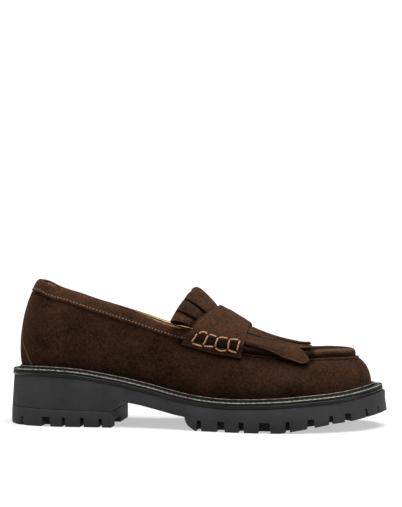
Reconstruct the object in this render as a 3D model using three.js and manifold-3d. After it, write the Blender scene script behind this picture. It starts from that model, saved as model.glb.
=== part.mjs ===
// A right-foot slip-on loafer with a lug sole, a saddle strap and a fringed kiltie.
// Millimetres. X runs from heel to toe, Y from the outer side (negative) to the inner side, Z up.
import * as THREE from "three";
import { mergeVertices } from "three/addons/utils/BufferGeometryUtils.js";
import Module from "manifold-3d";

const wasm = await Module();
wasm.setup();

// Lengths and widths of the sole
const soleLength = 282;
const ballWidth = 102;
const heelWidth = 65;
const toeTipSwing = 8; // how far the toe's tip lies towards the inner side
const heelLength = 83; // from the back of the heel to its breast

// Heights of the sole
const heelSeat = 36; // top of the outsole at the heel
const ballSeat = 15.7; // top of the outsole at the ball
const toeSeat = 26.9; // top of the outsole at the tip of the toe
const archHeight = 20; // underside of the sole just in front of the heel
const toeSpring = 12.2; // underside of the sole at the tip of the toe
const forefootStep = 9.6; // height of the step where the forefoot tread begins
const liftBack = 13.7; // height of the heel lift at its back
const liftFront = 11.4; // height of the heel lift at the breast
const wallFlare = 1.9; // how far the outsole's wall leans in over its height

// Layers between the outsole and the upper
const seatGap = 0.3; // space between two pieces that touch
const facetGap = 0.15; // how far a flat facet may lie inside a round surface
const midsoleThickness = 2.6;
const weltThickness = 1.6;
const weltEdge = 1.2; // how far the welt's edge lies inside the outline of the tread
const weltToe = 2.4; // how much further in it lies at the tip of the toe
const ribRise = 2.1; // the storm rib beside the upper
const ribWidth = 2;
const featherAtHeel = 8.6; // from the outline of the tread to the foot of the upper
const featherAtBall = 9.4;
const featherAtToe = 11.4;
const insoleThickness = 3;
const insoleClearance = 0.7;

// The tread
const lugDepth = 7.4;
const notchReach = 13; // how far a side notch runs in under the sole
const treadDepth = 4.5; // depth of the field between the side lugs
const treadRim = 15; // width of the side lugs
const treadBevel = 0.8; // rounding of the tread's lower edge
const studLength = 13;
const studWidth = 11;
const breastNotch = { from: -20, to: 2, reach: 9 }; // groove in the breast of the heel lift

// The upper
const upperWall = 2;
const instepHeight = 88.5; // crown of the vamp at the throat
const toeHeight = 55; // crown of the toe under the raised apron
const backHeight = 108; // top of the collar at the back
const ankleRise = 11; // from there to where the quarters would close over the heel
const ankleHeight = backHeight + ankleRise;
const heelBulge = 2;
const sideBulge = 2;
const toeBulge = -0.6;
const heelLean = 1.6; // how far the back leans forward at the collar
const seamDrop = 4.4; // from the crown of the toe to the apron seam at the front
const seamHeight = toeHeight - seamDrop;
const apronRise = 3.6;
const apronRoll = 3.2; // width of the roll where the apron rises
const seamLip = 0.8;

// Pieces that lie on the upper
const bandWidth = 9.4;
const bandThickness = 1.2;
const heelStripThickness = 0.8;
const strapThickness = 2;
const kiltieThickness = 1.3;
const loopReach = 24; // from the strap to the fold
const loopOpening = 5.8;
const fringeReach = 86; // the longest strip's tip, forward of the middle of the sole

const heelCentre = -soleLength * 0.38; // centre of the round of the heel
const toeCentre = soleLength * 0.34; // centre of the round of the toe
const back = -soleLength / 2;
const front = soleLength / 2;
const breast = back + heelLength;
const margin = 5; // how far a cutting solid reaches past the shoe

// Plan of the tread: at is a share of the sole's length from the back, and lateral and medial are
// shares of the width named in across.
const planRows = [
  { at: 0.012, across: heelWidth, lateral: 0.2, medial: 0.2 },
  { at: 0.04, across: heelWidth, lateral: 0.36, medial: 0.36 },
  { at: 0.117, across: heelWidth, lateral: 0.5, medial: 0.5 },
  { at: 0.266, across: heelWidth, lateral: 0.51, medial: 0.49 },
  { at: 0.408, across: ballWidth, lateral: 0.355, medial: 0.295 },
  { at: 0.532, across: ballWidth, lateral: 0.435, medial: 0.355 },
  { at: 0.638, across: ballWidth, lateral: 0.493, medial: 0.452 },
  { at: 0.727, across: ballWidth, lateral: 0.5, medial: 0.495 },
  { at: 0.833, across: ballWidth, lateral: 0.44, medial: 0.462 },
  { at: 0.922, across: ballWidth, lateral: 0.305, medial: 0.385 },
  { at: 0.979, across: ballWidth, lateral: 0.115, medial: 0.25 },
];

// Top of the outsole: heel is a share of the rise from the ball to the heel seat, and toe is a
// share of the rise from the ball to the toe.
const seatRows = [
  { at: 0, heel: 1.0, toe: 0 },
  { at: 0.1, heel: 1.02, toe: 0 },
  { at: 0.157, heel: 0.99, toe: 0 },
  { at: 0.211, heel: 0.92, toe: 0 },
  { at: 0.264, heel: 0.8, toe: 0 },
  { at: 0.317, heel: 0.67, toe: 0 },
  { at: 0.397, heel: 0.43, toe: 0 },
  { at: 0.45, heel: 0.25, toe: 0 },
  { at: 0.503, heel: 0.11, toe: 0 },
  { at: 0.557, heel: 0.025, toe: 0 },
  { at: 0.62, heel: 0, toe: 0 },
  { at: 0.73, heel: 0, toe: 0.115 },
  { at: 0.78, heel: 0, toe: 0.215 },
  { at: 0.88, heel: 0, toe: 0.45 },
  { at: 0.95, heel: 0, toe: 0.745 },
  { at: 1, heel: 0, toe: 1 },
];

// Underside of the sole in front of the heel: up is a share of the size named in of.
const undersideRows = [
  { at: 0.301, of: archHeight, up: 1 },
  { at: 0.37, of: archHeight, up: 0.83 },
  { at: 0.46, of: forefootStep, up: 1.13 },
  { at: 0.488, of: forefootStep, up: 1 },
  { at: 0.492, of: forefootStep, up: 0.6 },
  { at: 0.498, of: forefootStep, up: 0.36 },
  { at: 0.516, of: forefootStep, up: 0 },
  { at: 0.73, of: toeSpring, up: 0 },
  { at: 0.758, of: toeSpring, up: 0.1 },
  { at: 0.816, of: toeSpring, up: 0.33 },
  { at: 0.865, of: toeSpring, up: 0.53 },
  { at: 0.91, of: toeSpring, up: 0.64 },
  { at: 0.955, of: toeSpring, up: 0.82 },
  { at: 1.01, of: toeSpring, up: 1.02 },
];

// Sections of the last: crown is the height of its ridge as a share of the size named in of,
// square sets how full the section is, and seam is the apron seam's height over seamHeight as a
// share of the instep.
const lastRows = [
  { at: 0.12, of: ankleHeight, crown: 1, square: 2.12, seam: 0.4 },
  { at: 0.22, of: ankleHeight, crown: 1.004, square: 2.15, seam: 0.37 },
  { at: 0.3, of: ankleHeight, crown: 0.968, square: 2.2, seam: 0.34 },
  { at: 0.39, of: ankleHeight, crown: 0.89, square: 2.35, seam: 0.28 },
  { at: 0.47, of: instepHeight, crown: 1.07, square: 2.5, seam: 0.215 },
  { at: 0.528, of: instepHeight, crown: 0.99, square: 2.5, seam: 0.135 },
  { at: 0.558, of: instepHeight, crown: 0.945, square: 2.45, seam: 0.1 },
  { at: 0.6, of: instepHeight, crown: 0.862, square: 2.4, seam: 0.074 },
  { at: 0.635, of: instepHeight, crown: 0.796, square: 2.4, seam: 0.053 },
  { at: 0.7, of: toeHeight, crown: 1.14, square: 2.4, seam: 0.025 },
  { at: 0.745, of: toeHeight, crown: 1.068, square: 2.4, seam: 0.01 },
  { at: 0.785, of: toeHeight, crown: 1.022, square: 2.35, seam: 0 },
  { at: 0.84, of: toeHeight, crown: 1.018, square: 2.3, seam: 0.008 },
];

// The collar seen from the side: up is a share of the height of its back, and drop is how much
// lower the inner side lies.
const collarRows = [
  { at: 0.06, up: 1, drop: 0 },
  { at: 0.087, up: 0.989, drop: 0.003 },
  { at: 0.115, up: 0.957, drop: 0.012 },
  { at: 0.14, up: 0.9395, drop: 0.02 },
  { at: 0.17, up: 0.921, drop: 0.025 },
  { at: 0.22, up: 0.877, drop: 0.026 },
  { at: 0.285, up: 0.824, drop: 0.022 },
  { at: 0.365, up: 0.7525, drop: 0.014 },
  { at: 0.42, up: 0.698, drop: 0.008 },
  { at: 0.47, up: 0.663, drop: 0.005 },
  { at: 0.502, up: 0.654, drop: 0.002 },
  { at: 0.52, up: 0.69, drop: 0 },
  { at: 0.528, up: 0.76, drop: 0 },
  { at: 0.531, up: 0.86, drop: 0 },
];

// The saddle strap: rear and front are its edges as shares of the sole's length, hinge is the line
// where the loops of the kiltie start behind it, and side is the way down from the crown over the
// apron seam.
const strapRows = [
  { side: 0, rear: 0.556, hinge: 0.556, front: 0.636 },
  { side: 0.2, rear: 0.554, hinge: 0.5525, front: 0.636 },
  { side: 0.45, rear: 0.544, hinge: 0.5365, front: 0.636 },
  { side: 0.7, rear: 0.5245, hinge: 0.5135, front: 0.635 },
  { side: 0.9, rear: 0.505, hinge: 0.495, front: 0.634 },
  { side: 1.05, rear: 0.4915, hinge: 0.483, front: 0.632 },
  { side: 1.2, rear: 0.481, hinge: 0.4735, front: 0.63 },
];
const strapSide = { rear: 1.2, front: 1.12 }; // where the strap's ends lie at its two edges

// The fold of the kiltie behind the strap: side is as for the strap, and back, rise and inward
// are shares of the loops' reach.
const foldRows = [
  { side: 0, back: 0.84, rise: 0.5, inward: 0 },
  { side: 0.3, back: 0.76, rise: 0.37, inward: 0.03 },
  { side: 0.6, back: 0.67, rise: 0.25, inward: 0.06 },
  { side: 0.86, back: 0.58, rise: 0.1, inward: 0.06 },
];

// One loop of the kiltie from the side, from the strap out to the fold and back under it: out is
// a share of the loops' reach and up is a share of their opening.
const loopRows = [
  { out: -0.05, up: 0 },
  { out: 0.02, up: 0 },
  { out: 0.12, up: 0.3 },
  { out: 0.33, up: 0.62 },
  { out: 0.58, up: 0.84 },
  { out: 0.8, up: 0.95 },
  { out: 0.93, up: 0.85 },
  { out: 1, up: 0.55 },
  { out: 0.98, up: 0.22 },
  { out: 0.88, up: 0.03 },
  { out: 0.68, up: -0.03 },
  { out: 0.4, up: 0.02 },
  { out: 0.15, up: 0.03 },
  { out: 0.02, up: 0 },
  { out: -0.05, up: 0 },
];
const loopTurn = 7; // the row where a loop turns back

// Half the width of the strip down the back seam: up is a share of the height of the collar and
// half is a share of the heel's width.
const heelStripRows = [
  { up: 0.3, half: 0.44 },
  { up: 0.42, half: 0.37 },
  { up: 0.51, half: 0.285 },
  { up: 0.57, half: 0.2 },
  { up: 0.68, half: 0.11 },
  { up: 0.95, half: 0.062 },
];

// The fringe's strips from the outer side to the inner side: the root and the tip lie between
// shares of the way from the crown to the apron seam, length gives the two edges' shares of the
// fringe's reach, and lift is how far the tip stands off the upper.
const fringeRows = [
  { root: [-0.86, -0.49], tip: [-1.235, -0.92], length: [0.933, 0.974], lift: 2.2 },
  { root: [-0.46, -0.17], tip: [-0.8, -0.3], length: [0.967, 0.997], lift: 0.8 },
  { root: [-0.15, 0.15], tip: [-0.25, 0.17], length: [0.994, 0.984], lift: 2.1 },
  { root: [0.17, 0.46], tip: [0.24, 0.72], length: [0.967, 0.935], lift: 0.8 },
  { root: [0.49, 0.86], tip: [0.88, 1.1], length: [0.965, 0.93], lift: 1.6 },
];

// The sides of each loop behind the strap, as the fringe's roots
const loopSides = [
  [-0.86, -0.7],
  [-0.68, -0.485],
  [-0.465, -0.26],
  [-0.24, -0.01],
  [0.01, 0.24],
  [0.26, 0.465],
  [0.485, 0.68],
  [0.7, 0.86],
];

// Side notches of the tread: at is a share of the sole's length, width is in shares of it too,
// and depth is a share of the lugs' depth.
const notchRows = [
  { at: 0.05, width: 0.006, depth: 0.86 },
  { at: 0.1215, width: 0.024, depth: 0.96 },
  { at: 0.17, width: 0.009, depth: 0.92 },
  { at: 0.218, width: 0.01, depth: 0.92 },
  { at: 0.2635, width: 0.009, depth: 0.86 },
  { at: 0.528, width: 0.012, depth: 1 },
  { at: 0.583, width: 0.02, depth: 1 },
  { at: 0.635, width: 0.0135, depth: 1 },
  { at: 0.694, width: 0.03, depth: 1 },
  { at: 0.751, width: 0.0105, depth: 1 },
  { at: 0.807, width: 0.018, depth: 0.84 },
  { at: 0.855, width: 0.01, depth: 0.8 },
  { at: 0.9, width: 0.019, depth: 0.77 },
  { at: 0.945, width: 0.008, depth: 0.79 },
  { at: 0.978, width: 0.006, depth: 0.7 },
];

const along = (share) => back + soleLength * share;

// A smooth line through a table's rows, level outside them.
function lineThrough(rows, value) {
  const xs = rows.map((row) => along(row.at));
  const ys = rows.map(value);
  const slope = ys.map((y, i) => {
    const before = Math.max(i - 1, 0);
    const after = Math.min(i + 1, ys.length - 1);
    return (ys[after] - ys[before]) / (xs[after] - xs[before]);
  });
  return (x) => {
    if (x <= xs[0]) return ys[0];
    if (x >= xs[xs.length - 1]) return ys[ys.length - 1];
    const i = xs.findIndex((right) => right > x) - 1;
    const span = xs[i + 1] - xs[i];
    const t = (x - xs[i]) / span;
    const rise = t * t * (3 - 2 * t);
    const leave = span * slope[i] * t * (1 - t) * (1 - t);
    const arrive = span * slope[i + 1] * t * t * (1 - t);
    return ys[i] + (ys[i + 1] - ys[i]) * rise + leave - arrive;
  };
}

const seatOf = (row) => ballSeat + (heelSeat - ballSeat) * row.heel + (toeSeat - ballSeat) * row.toe;
const seat = lineThrough(seatRows, seatOf);
const underside = (x) => {
  const at = (x - back) / soleLength;
  const next = undersideRows.findIndex((row) => row.at > at);
  if (next < 1) {
    const end = undersideRows[next < 0 ? undersideRows.length - 1 : 0];
    return end.up * end.of;
  }
  const left = undersideRows[next - 1];
  const right = undersideRows[next];
  const t = (at - left.at) / (right.at - left.at);
  return left.up * left.of * (1 - t) + right.up * right.of * t;
};
const midsoleTop = (x) => seat(x) + seatGap + midsoleThickness;
const upperFoot = (x) => midsoleTop(x) + seatGap;
const weltTop = (x) => upperFoot(x) + weltThickness;
const ribTop = (x) => weltTop(x) + ribRise;

// Outline of the tread, and the same outline drawn in by a distance
const planCurve = new THREE.CatmullRomCurve3(
  [
    new THREE.Vector3(back, 0, 0),
    ...planRows.map((row) => new THREE.Vector3(along(row.at), -row.across * row.lateral, 0)),
    new THREE.Vector3(front, toeTipSwing, 0),
    ...planRows
      .map((row) => new THREE.Vector3(along(row.at), row.across * row.medial, 0))
      .reverse(),
  ],
  true,
);

function outline(steps, inset) {
  const points = [];
  for (let i = 0; i < steps; i += 1) {
    const point = planCurve.getPointAt(i / steps);
    const way = planCurve.getTangentAt(i / steps);
    const d = inset(point.x);
    points.push(new THREE.Vector2(point.x - way.y * d, point.y + way.x * d));
  }
  return points;
}

const feather = lineThrough(
  [
    { at: 0.1, inset: featherAtHeel },
    { at: 0.5, inset: featherAtBall },
    { at: 0.8, inset: featherAtBall },
    { at: 1, inset: featherAtToe },
  ],
  (row) => row.inset,
);

const weltInset = lineThrough(
  [
    { at: 0.9, inset: weltEdge },
    { at: 1, inset: weltEdge + weltToe },
  ],
  (row) => row.inset,
);

// Solids from closed meshes
function solidOf(geometry) {
  const plain = geometry.clone();
  plain.deleteAttribute("normal");
  plain.deleteAttribute("uv");
  const merged = mergeVertices(plain, 1e-4);
  const faces = [];
  const index = merged.index.array;
  for (let i = 0; i < index.length; i += 3) {
    const [a, b, c] = [index[i], index[i + 1], index[i + 2]];
    if (a !== b && b !== c && c !== a) faces.push(a, b, c);
  }
  return new wasm.Manifold(
    new wasm.Mesh({
      numProp: 3,
      vertProperties: merged.attributes.position.array,
      triVerts: new Uint32Array(faces),
    }),
  );
}

function geometryFrom(positions, faces) {
  const geometry = new THREE.BufferGeometry();
  geometry.setAttribute("position", new THREE.Float32BufferAttribute(positions, 3));
  geometry.setIndex(faces);
  return geometry;
}

function standing(points, low, high) {
  const geometry = new THREE.ExtrudeGeometry(new THREE.Shape(points), {
    depth: high - low,
    bevelEnabled: false,
  });
  geometry.translate(0, 0, low);
  return solidOf(geometry);
}

// A prism across the shoe, from an outline seen from the outer side
function across(points, from = -ballWidth, to = ballWidth) {
  const shape = new THREE.Shape(points.map(([x, z]) => new THREE.Vector2(x, z)));
  const geometry = new THREE.ExtrudeGeometry(shape, { depth: to - from, bevelEnabled: false });
  geometry.rotateX(Math.PI / 2);
  geometry.translate(0, to, 0);
  return solidOf(geometry);
}

const profileSteps = 26;
function between(low, high, from = back - margin, to = front + margin) {
  const xs = [];
  for (let i = 0; i <= profileSteps; i += 1) xs.push(from + ((to - from) * i) / profileSteps);
  const lower = xs.map((x) => [x, low(x)]);
  const upper = xs.map((x) => [x, high(x)]).reverse();
  return across([...lower, ...upper]);
}

// Rings of equal count, stacked and closed at both ends
function stacked(rings) {
  const count = rings[0].length;
  const positions = rings.flat(2);
  const faces = [];
  for (let k = 0; k + 1 < rings.length; k += 1) {
    for (let i = 0; i < count; i += 1) {
      const a = k * count + i;
      const b = k * count + ((i + 1) % count);
      faces.push(a, b, b + count, a, b + count, a + count);
    }
  }
  const cap = THREE.ShapeUtils.triangulateShape(
    rings[0].map(([x, y]) => new THREE.Vector2(x, y)),
    [],
  );
  const last = (rings.length - 1) * count;
  cap.forEach(([a, b, c]) => {
    faces.push(c, b, a, last + a, last + b, last + c);
  });
  return solidOf(geometryFrom(positions, faces));
}

// A sheet with a top and an underside, each given as rows of points
function sheetOf(top, under) {
  const rows = top.length;
  const columns = top[0].length;
  const shift = rows * columns;
  const positions = [...top.flat(2), ...under.flat(2)];
  const faces = [];
  const at = (i, j) => i * columns + j;
  const quad = (a, b, c, d) => faces.push(a, b, c, a, c, d);
  for (let i = 0; i + 1 < rows; i += 1) {
    for (let j = 0; j + 1 < columns; j += 1) {
      quad(at(i, j), at(i, j + 1), at(i + 1, j + 1), at(i + 1, j));
      quad(
        shift + at(i, j),
        shift + at(i + 1, j),
        shift + at(i + 1, j + 1),
        shift + at(i, j + 1),
      );
    }
    quad(at(i, 0), at(i + 1, 0), shift + at(i + 1, 0), shift + at(i, 0));
    const j = columns - 1;
    quad(at(i + 1, j), at(i, j), shift + at(i, j), shift + at(i + 1, j));
  }
  for (let j = 0; j + 1 < columns; j += 1) {
    quad(at(0, j + 1), at(0, j), shift + at(0, j), shift + at(0, j + 1));
    const i = rows - 1;
    quad(at(i, j), at(i, j + 1), shift + at(i, j + 1), shift + at(i, j));
  }
  const solid = solidOf(geometryFrom(positions, faces));
  if (solid.volume() > 0) return solid;
  for (let i = 0; i < faces.length; i += 3) [faces[i], faces[i + 1]] = [faces[i + 1], faces[i]];
  return solidOf(geometryFrom(positions, faces));
}

// The last: a spoke runs from a point of the spine to the foot of the upper. Spokes are counted
// round the shoe: 0 to 1 along the outer side, 1 to 2 round the toe, 2 to 3 back along the inner
// side, and 3 to 4 round the heel.
const fineSteps = 480;
const featherLine = outline(fineSteps, feather);
const crown = lineThrough(lastRows, (row) => row.of * row.crown);
const square = lineThrough(lastRows, (row) => row.square);
const seamLine = lineThrough(lastRows, (row) => seamHeight + instepHeight * row.seam);
const bulge = lineThrough(
  [
    { at: 0.12, out: heelBulge },
    { at: 0.35, out: sideBulge },
    { at: 0.75, out: sideBulge },
    { at: 0.84, out: toeBulge },
  ],
  (row) => row.out,
);

function hit(x, y, way) {
  let best = 0;
  for (let i = 0; i < featherLine.length; i += 1) {
    const a = featherLine[i];
    const b = featherLine[(i + 1) % featherLine.length];
    const ex = b.x - a.x;
    const ey = b.y - a.y;
    const det = way.x * -ey + way.y * ex;
    if (Math.abs(det) < 1e-12) continue;
    const t = ((a.x - x) * -ey + (a.y - y) * ex) / det;
    const s = (way.x * (a.y - y) - way.y * (a.x - x)) / det;
    if (s >= -1e-9 && s <= 1 + 1e-9 && t > best) best = t;
  }
  return best;
}

const spineMemo = new Map();
function spine(x) {
  if (!spineMemo.has(x)) {
    const outer = hit(x, 0, { x: 0, y: -1 });
    const inner = hit(x, 0, { x: 0, y: 1 });
    spineMemo.set(x, (inner - outer) / 2);
  }
  return spineMemo.get(x);
}

const spokeMemo = new Map();
function spoke(turn) {
  const s = ((turn % 4) + 4) % 4;
  if (spokeMemo.has(s)) return spokeMemo.get(s);
  let x = toeCentre;
  let way = { x: 0, y: -1 };
  if (s < 1) {
    x = heelCentre + (toeCentre - heelCentre) * s;
  } else if (s < 2) {
    const angle = (s - 1.5) * Math.PI;
    way = { x: Math.cos(angle), y: Math.sin(angle) };
  } else if (s < 3) {
    x = toeCentre + (heelCentre - toeCentre) * (s - 2);
    way = { x: 0, y: 1 };
  } else {
    x = heelCentre;
    const angle = (s - 2.5) * Math.PI;
    way = { x: Math.cos(angle), y: Math.sin(angle) };
  }
  const y = spine(x);
  const reach = hit(x, y, way);
  const foot = ribTop(x + way.x * reach);
  const height = crown(x) - foot;
  const rise = Math.min((seamLine(x) - foot) / height, 0.97);
  const seam = Math.asin(Math.pow(rise, square(x) / 2));
  const made = { x, y, way, reach, foot, height, seam };
  spokeMemo.set(s, made);
  return made;
}

const smooth = (t) => {
  const k = Math.min(Math.max(t, 0), 1);
  return k * k * (3 - 2 * k);
};

// A point of the last: level is 0 at the crown, 1 at the apron seam and 2 at the foot.
function bare(turn, level) {
  const { x, y, way, reach, foot, height, seam } = spoke(turn);
  if (level > 2) {
    return new THREE.Vector3(x + way.x * reach, y + way.y * reach, foot - (level - 2) * 10);
  }
  const angle = level <= 1 ? Math.PI / 2 - level * (Math.PI / 2 - seam) : seam * (2 - level);
  const power = 2 / square(x);
  const inward = Math.pow(Math.max(Math.cos(angle), 0), power);
  const up = Math.pow(Math.max(Math.sin(angle), 0), power);
  const hump = (Math.pow(up, 0.6) * Math.pow(1 - up, 1.2)) / 0.318;
  const out = reach * inward + bulge(x) * hump;
  const leanAt = 1 - smooth((x - heelCentre) / (soleLength * 0.25));
  const lean = heelLean * leanAt * Math.pow(up / 0.79, 3);
  return new THREE.Vector3(x + way.x * out + lean, y + way.y * out, foot + height * up);
}

function outward(turn, level) {
  const step = 1e-3;
  const x = spoke(turn).x;
  if (level < 0.02) {
    const slope = crown(x + 0.5) - crown(x - 0.5);
    return new THREE.Vector3(-slope, 0, 1).normalize();
  }
  const round = bare(turn + step, level).sub(bare(turn - step, level));
  const low = Math.min(level + step, 2);
  const up = bare(turn, low - 2 * step).sub(bare(turn, low));
  return round.cross(up).normalize();
}

const onLast = (turn, level, d) => bare(turn, level).addScaledVector(outward(turn, level), d);

// The apron stands over its seam by a roll. in is the way from the seam towards the crown.
const apronAt = lineThrough(
  [
    { at: 0.5, rise: 0 },
    { at: 0.57, rise: 0.42 },
    { at: 0.7, rise: 0.62 },
    { at: 0.84, rise: 1 },
  ],
  (row) => row.rise * apronRise,
);
const seamToCrown = (turn) => bare(turn, 1).distanceTo(bare(turn, 0));
function apronLift(turn, level) {
  const rise = apronAt(spoke(turn).x);
  const inside = (1 - level) * seamToCrown(turn);
  const lip = seamLip * Math.max(0, 1 - Math.abs(inside + 0.9) / 0.9) * Math.min(rise, 1);
  const flat = 1 - 0.25 * smooth((inside - apronRoll) / (3 * apronRoll));
  return lip + rise * smooth((inside + 0.2) / apronRoll) * flat;
}

const surface = (turn, level, d) => onLast(turn, level, d + apronLift(turn, level));

const sideSpokes = 20;
const toeSpokes = 14;
const heelSpokes = 12;
const turns = [];
[sideSpokes, toeSpokes, sideSpokes, heelSpokes].forEach((count, part) => {
  for (let i = 0; i < count; i += 1) turns.push(part + i / count);
});

// A closed dome over the last, at a distance from it
function dome(levelsAt, point) {
  const rows = turns.map((turn) => levelsAt(turn).map((level) => point(turn, level)));
  const count = turns.length;
  const levels = rows[0].length;
  const positions = [];
  const faces = [];
  for (let k = 0; k < levels; k += 1) {
    for (let i = 0; i < count; i += 1) positions.push(...rows[i][k].toArray());
  }
  for (let k = 0; k + 1 < levels; k += 1) {
    for (let i = 0; i < count; i += 1) {
      const a = k * count + i;
      const b = k * count + ((i + 1) % count);
      faces.push(a, b, b + count, a, b + count, a + count);
    }
  }
  const rim = rows.map((row) => new THREE.Vector2(row[0].x, row[0].y));
  THREE.ShapeUtils.triangulateShape(rim, []).forEach(([a, b, c]) => faces.push(c, b, a));
  return solidOf(geometryFrom(positions, faces));
}

const below = 2.8;
const nearSeam = (turn, d) => 1 - d / seamToCrown(turn);
const outerLevels = (turn) => [
  below,
  2,
  1.8,
  1.55,
  1.3,
  nearSeam(turn, -1.8),
  nearSeam(turn, -0.9),
  nearSeam(turn, 0),
  nearSeam(turn, apronRoll * 0.45),
  nearSeam(turn, apronRoll),
  nearSeam(turn, apronRoll) * 0.72,
  nearSeam(turn, apronRoll) * 0.42,
  nearSeam(turn, apronRoll) * 0.18,
  0,
];
const innerLevels = () => [below + 0.4, 2, 1.65, 1.3, 1, 0.7, 0.4, 0.16, 0];

const collarLevel = lineThrough(collarRows, (row) => row.up * backHeight);
const collarDrop = lineThrough(collarRows, (row) => row.drop * backHeight);
const collar = (x, side) => collarLevel(x) - (side > 0 ? collarDrop(x) : 0);
const throat = along(collarRows[collarRows.length - 1].at);

function overCollar(side) {
  const edge = [];
  collarRows.slice(0, -1).forEach((row, i) => {
    const next = collarRows[i + 1];
    [0, 0.5].forEach((share) => {
      const x = along(row.at + (next.at - row.at) * share);
      edge.push([x, collar(x, side)]);
    });
  });
  const points = [
    [back - margin, edge[0][1]],
    ...edge,
    [throat, collar(throat, side)],
    [throat, 2 * backHeight],
    [back - margin, 2 * backHeight],
  ];
  return side > 0 ? across(points, 0, ballWidth) : across(points, -ballWidth, 0);
}

// The look of each material
const rubber = { color: 0x3a3b3c, roughness: 0.75 };
const midsoleRubber = { color: 0x121110, roughness: 0.35 };
const weltLeather = { color: 0x16120e, roughness: 0.3 };
const suede = { color: 0x38261b, roughness: 0.95 };
const bandSuede = { color: 0x3d2819, roughness: 0.95 };
const kiltieSuede = { color: 0x412e22, roughness: 0.9 };
const sockLeather = { color: 0xc48c58, roughness: 0.6 };

const shoe = new THREE.Group();
function add(name, solid, look) {
  const { numProp, vertProperties, triVerts } = solid.getMesh();
  const positions = [];
  for (let i = 0; i < vertProperties.length; i += numProp) {
    positions.push(vertProperties[i], vertProperties[i + 1], vertProperties[i + 2]);
  }
  const geometry = geometryFrom(positions, [...triVerts]);
  geometry.computeVertexNormals();
  const mesh = new THREE.Mesh(geometry, new THREE.MeshStandardMaterial(look));
  mesh.name = name;
  shoe.add(mesh);
}

const planSteps = 52;
const level = (points, z) => points.map((point) => [point.x, point.y, z]);

// The outsole and the heel lift
const treadWall = stacked([
  level(outline(planSteps, () => treadBevel), -treadBevel),
  level(outline(planSteps, () => 0), 2 * treadBevel),
  level(outline(planSteps, () => 0), forefootStep),
  level(outline(planSteps, (x) => wallFlare * (x > breast ? 0.8 : 0.3)), archHeight),
  level(outline(planSteps, () => wallFlare), heelSeat + margin),
]);
const liftTop = (x) => liftBack + ((liftFront - liftBack) * (x - back)) / heelLength;
const forefootLine = undersideRows.map((row) => [along(row.at), row.up * row.of]);
const seatLine = [];
for (let i = profileSteps; i >= 0; i -= 1) {
  const x = back - margin + ((soleLength + 2 * margin) * i) / profileSteps;
  seatLine.push([x, seat(x)]);
}
const outsoleSide = across([
  [back - margin, liftTop(back - margin) + seatGap],
  [breast, liftTop(breast) + seatGap],
  ...forefootLine,
  [front + margin, toeSpring * 1.05],
  ...seatLine,
]);
const liftSide = across([
  [back - margin, 0],
  [breast, 0],
  [breast, liftTop(breast)],
  [back - margin, liftTop(back - margin)],
]);

function notchAt({ at, width, depth }, side) {
  const x = along(at);
  const start = new THREE.Vector3(x, spine(Math.min(x, toeCentre)), 0);
  const points = outline(fineSteps, () => 0).filter((point) => Math.sign(point.y - start.y) === side);
  const edge = points.reduce((best, point) => {
    return Math.abs(point.x - x) < Math.abs(best.x - x) ? point : best;
  });
  const floor = x < breast ? 0 : underside(x);
  const centreX = Math.min(Math.max(x, heelCentre), toeCentre);
  const inwards = new THREE.Vector2(centreX - edge.x, spine(centreX) - edge.y).normalize();
  const half = (width * soleLength) / 2;
  const top = depth * lugDepth;
  const shape = new THREE.Shape([
    new THREE.Vector2(-half * 1.25, -lugDepth),
    new THREE.Vector2(half * 1.25, -lugDepth),
    new THREE.Vector2(half * 0.87, top),
    new THREE.Vector2(-half * 0.87, top),
  ]);
  const geometry = new THREE.ExtrudeGeometry(shape, {
    depth: notchReach + margin,
    bevelEnabled: false,
  });
  geometry.rotateX(Math.PI / 2);
  geometry.rotateZ(Math.atan2(-inwards.x, inwards.y));
  const origin = new THREE.Vector2(edge.x, edge.y).addScaledVector(inwards, notchReach);
  geometry.translate(origin.x, origin.y, floor);
  return solidOf(geometry);
}

function stud(x, y, low, high) {
  const half = { x: studLength / 2, y: studWidth / 2 };
  return standing(
    [
      new THREE.Vector2(x - half.x, y - half.y * 0.4),
      new THREE.Vector2(x - half.x * 0.4, y - half.y),
      new THREE.Vector2(x + half.x * 0.4, y - half.y),
      new THREE.Vector2(x + half.x, y - half.y * 0.4),
      new THREE.Vector2(x + half.x, y + half.y * 0.4),
      new THREE.Vector2(x + half.x * 0.4, y + half.y),
      new THREE.Vector2(x - half.x * 0.4, y + half.y),
      new THREE.Vector2(x - half.x, y + half.y * 0.4),
    ],
    low,
    high,
  );
}

const field = standing(outline(planSteps, () => treadRim), -margin, heelSeat);
const forefootStart = along(0.516);
const fieldFloor = (x) => underside(x) - 2 * margin;
const fieldRoof = (x) => underside(x) + treadDepth;
let forefootField = field.intersect(
  between(fieldFloor, fieldRoof, forefootStart, front + margin),
);
const forefootStuds = [0.575, 0.655, 0.735, 0.815, 0.89];
forefootStuds.forEach((at) => {
  const x = along(at);
  const y = spine(Math.min(x, toeCentre));
  const pairs = at > 0.85 ? [0] : [-1, 1];
  pairs.forEach((side) => {
    forefootField = forefootField.subtract(stud(x, y + side * studWidth, -3 * margin, heelSeat));
  });
});
const fieldEnd = breast - breastNotch.reach + 1;
let heelField = field.intersect(
  across([
    [back, -margin],
    [fieldEnd, -margin],
    [fieldEnd, treadDepth],
    [back, treadDepth],
  ]),
);
heelField = heelField.add(
  across(
    [
      [breast - breastNotch.reach, -margin],
      [breast + margin, -margin],
      [breast + margin, treadDepth],
      [breast - breastNotch.reach, treadDepth],
    ],
    breastNotch.from,
    breastNotch.to,
  ),
);
[0.13, 0.21].forEach((at) => {
  heelField = heelField.subtract(stud(along(at), 0, -3 * margin, heelSeat));
});

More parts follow.
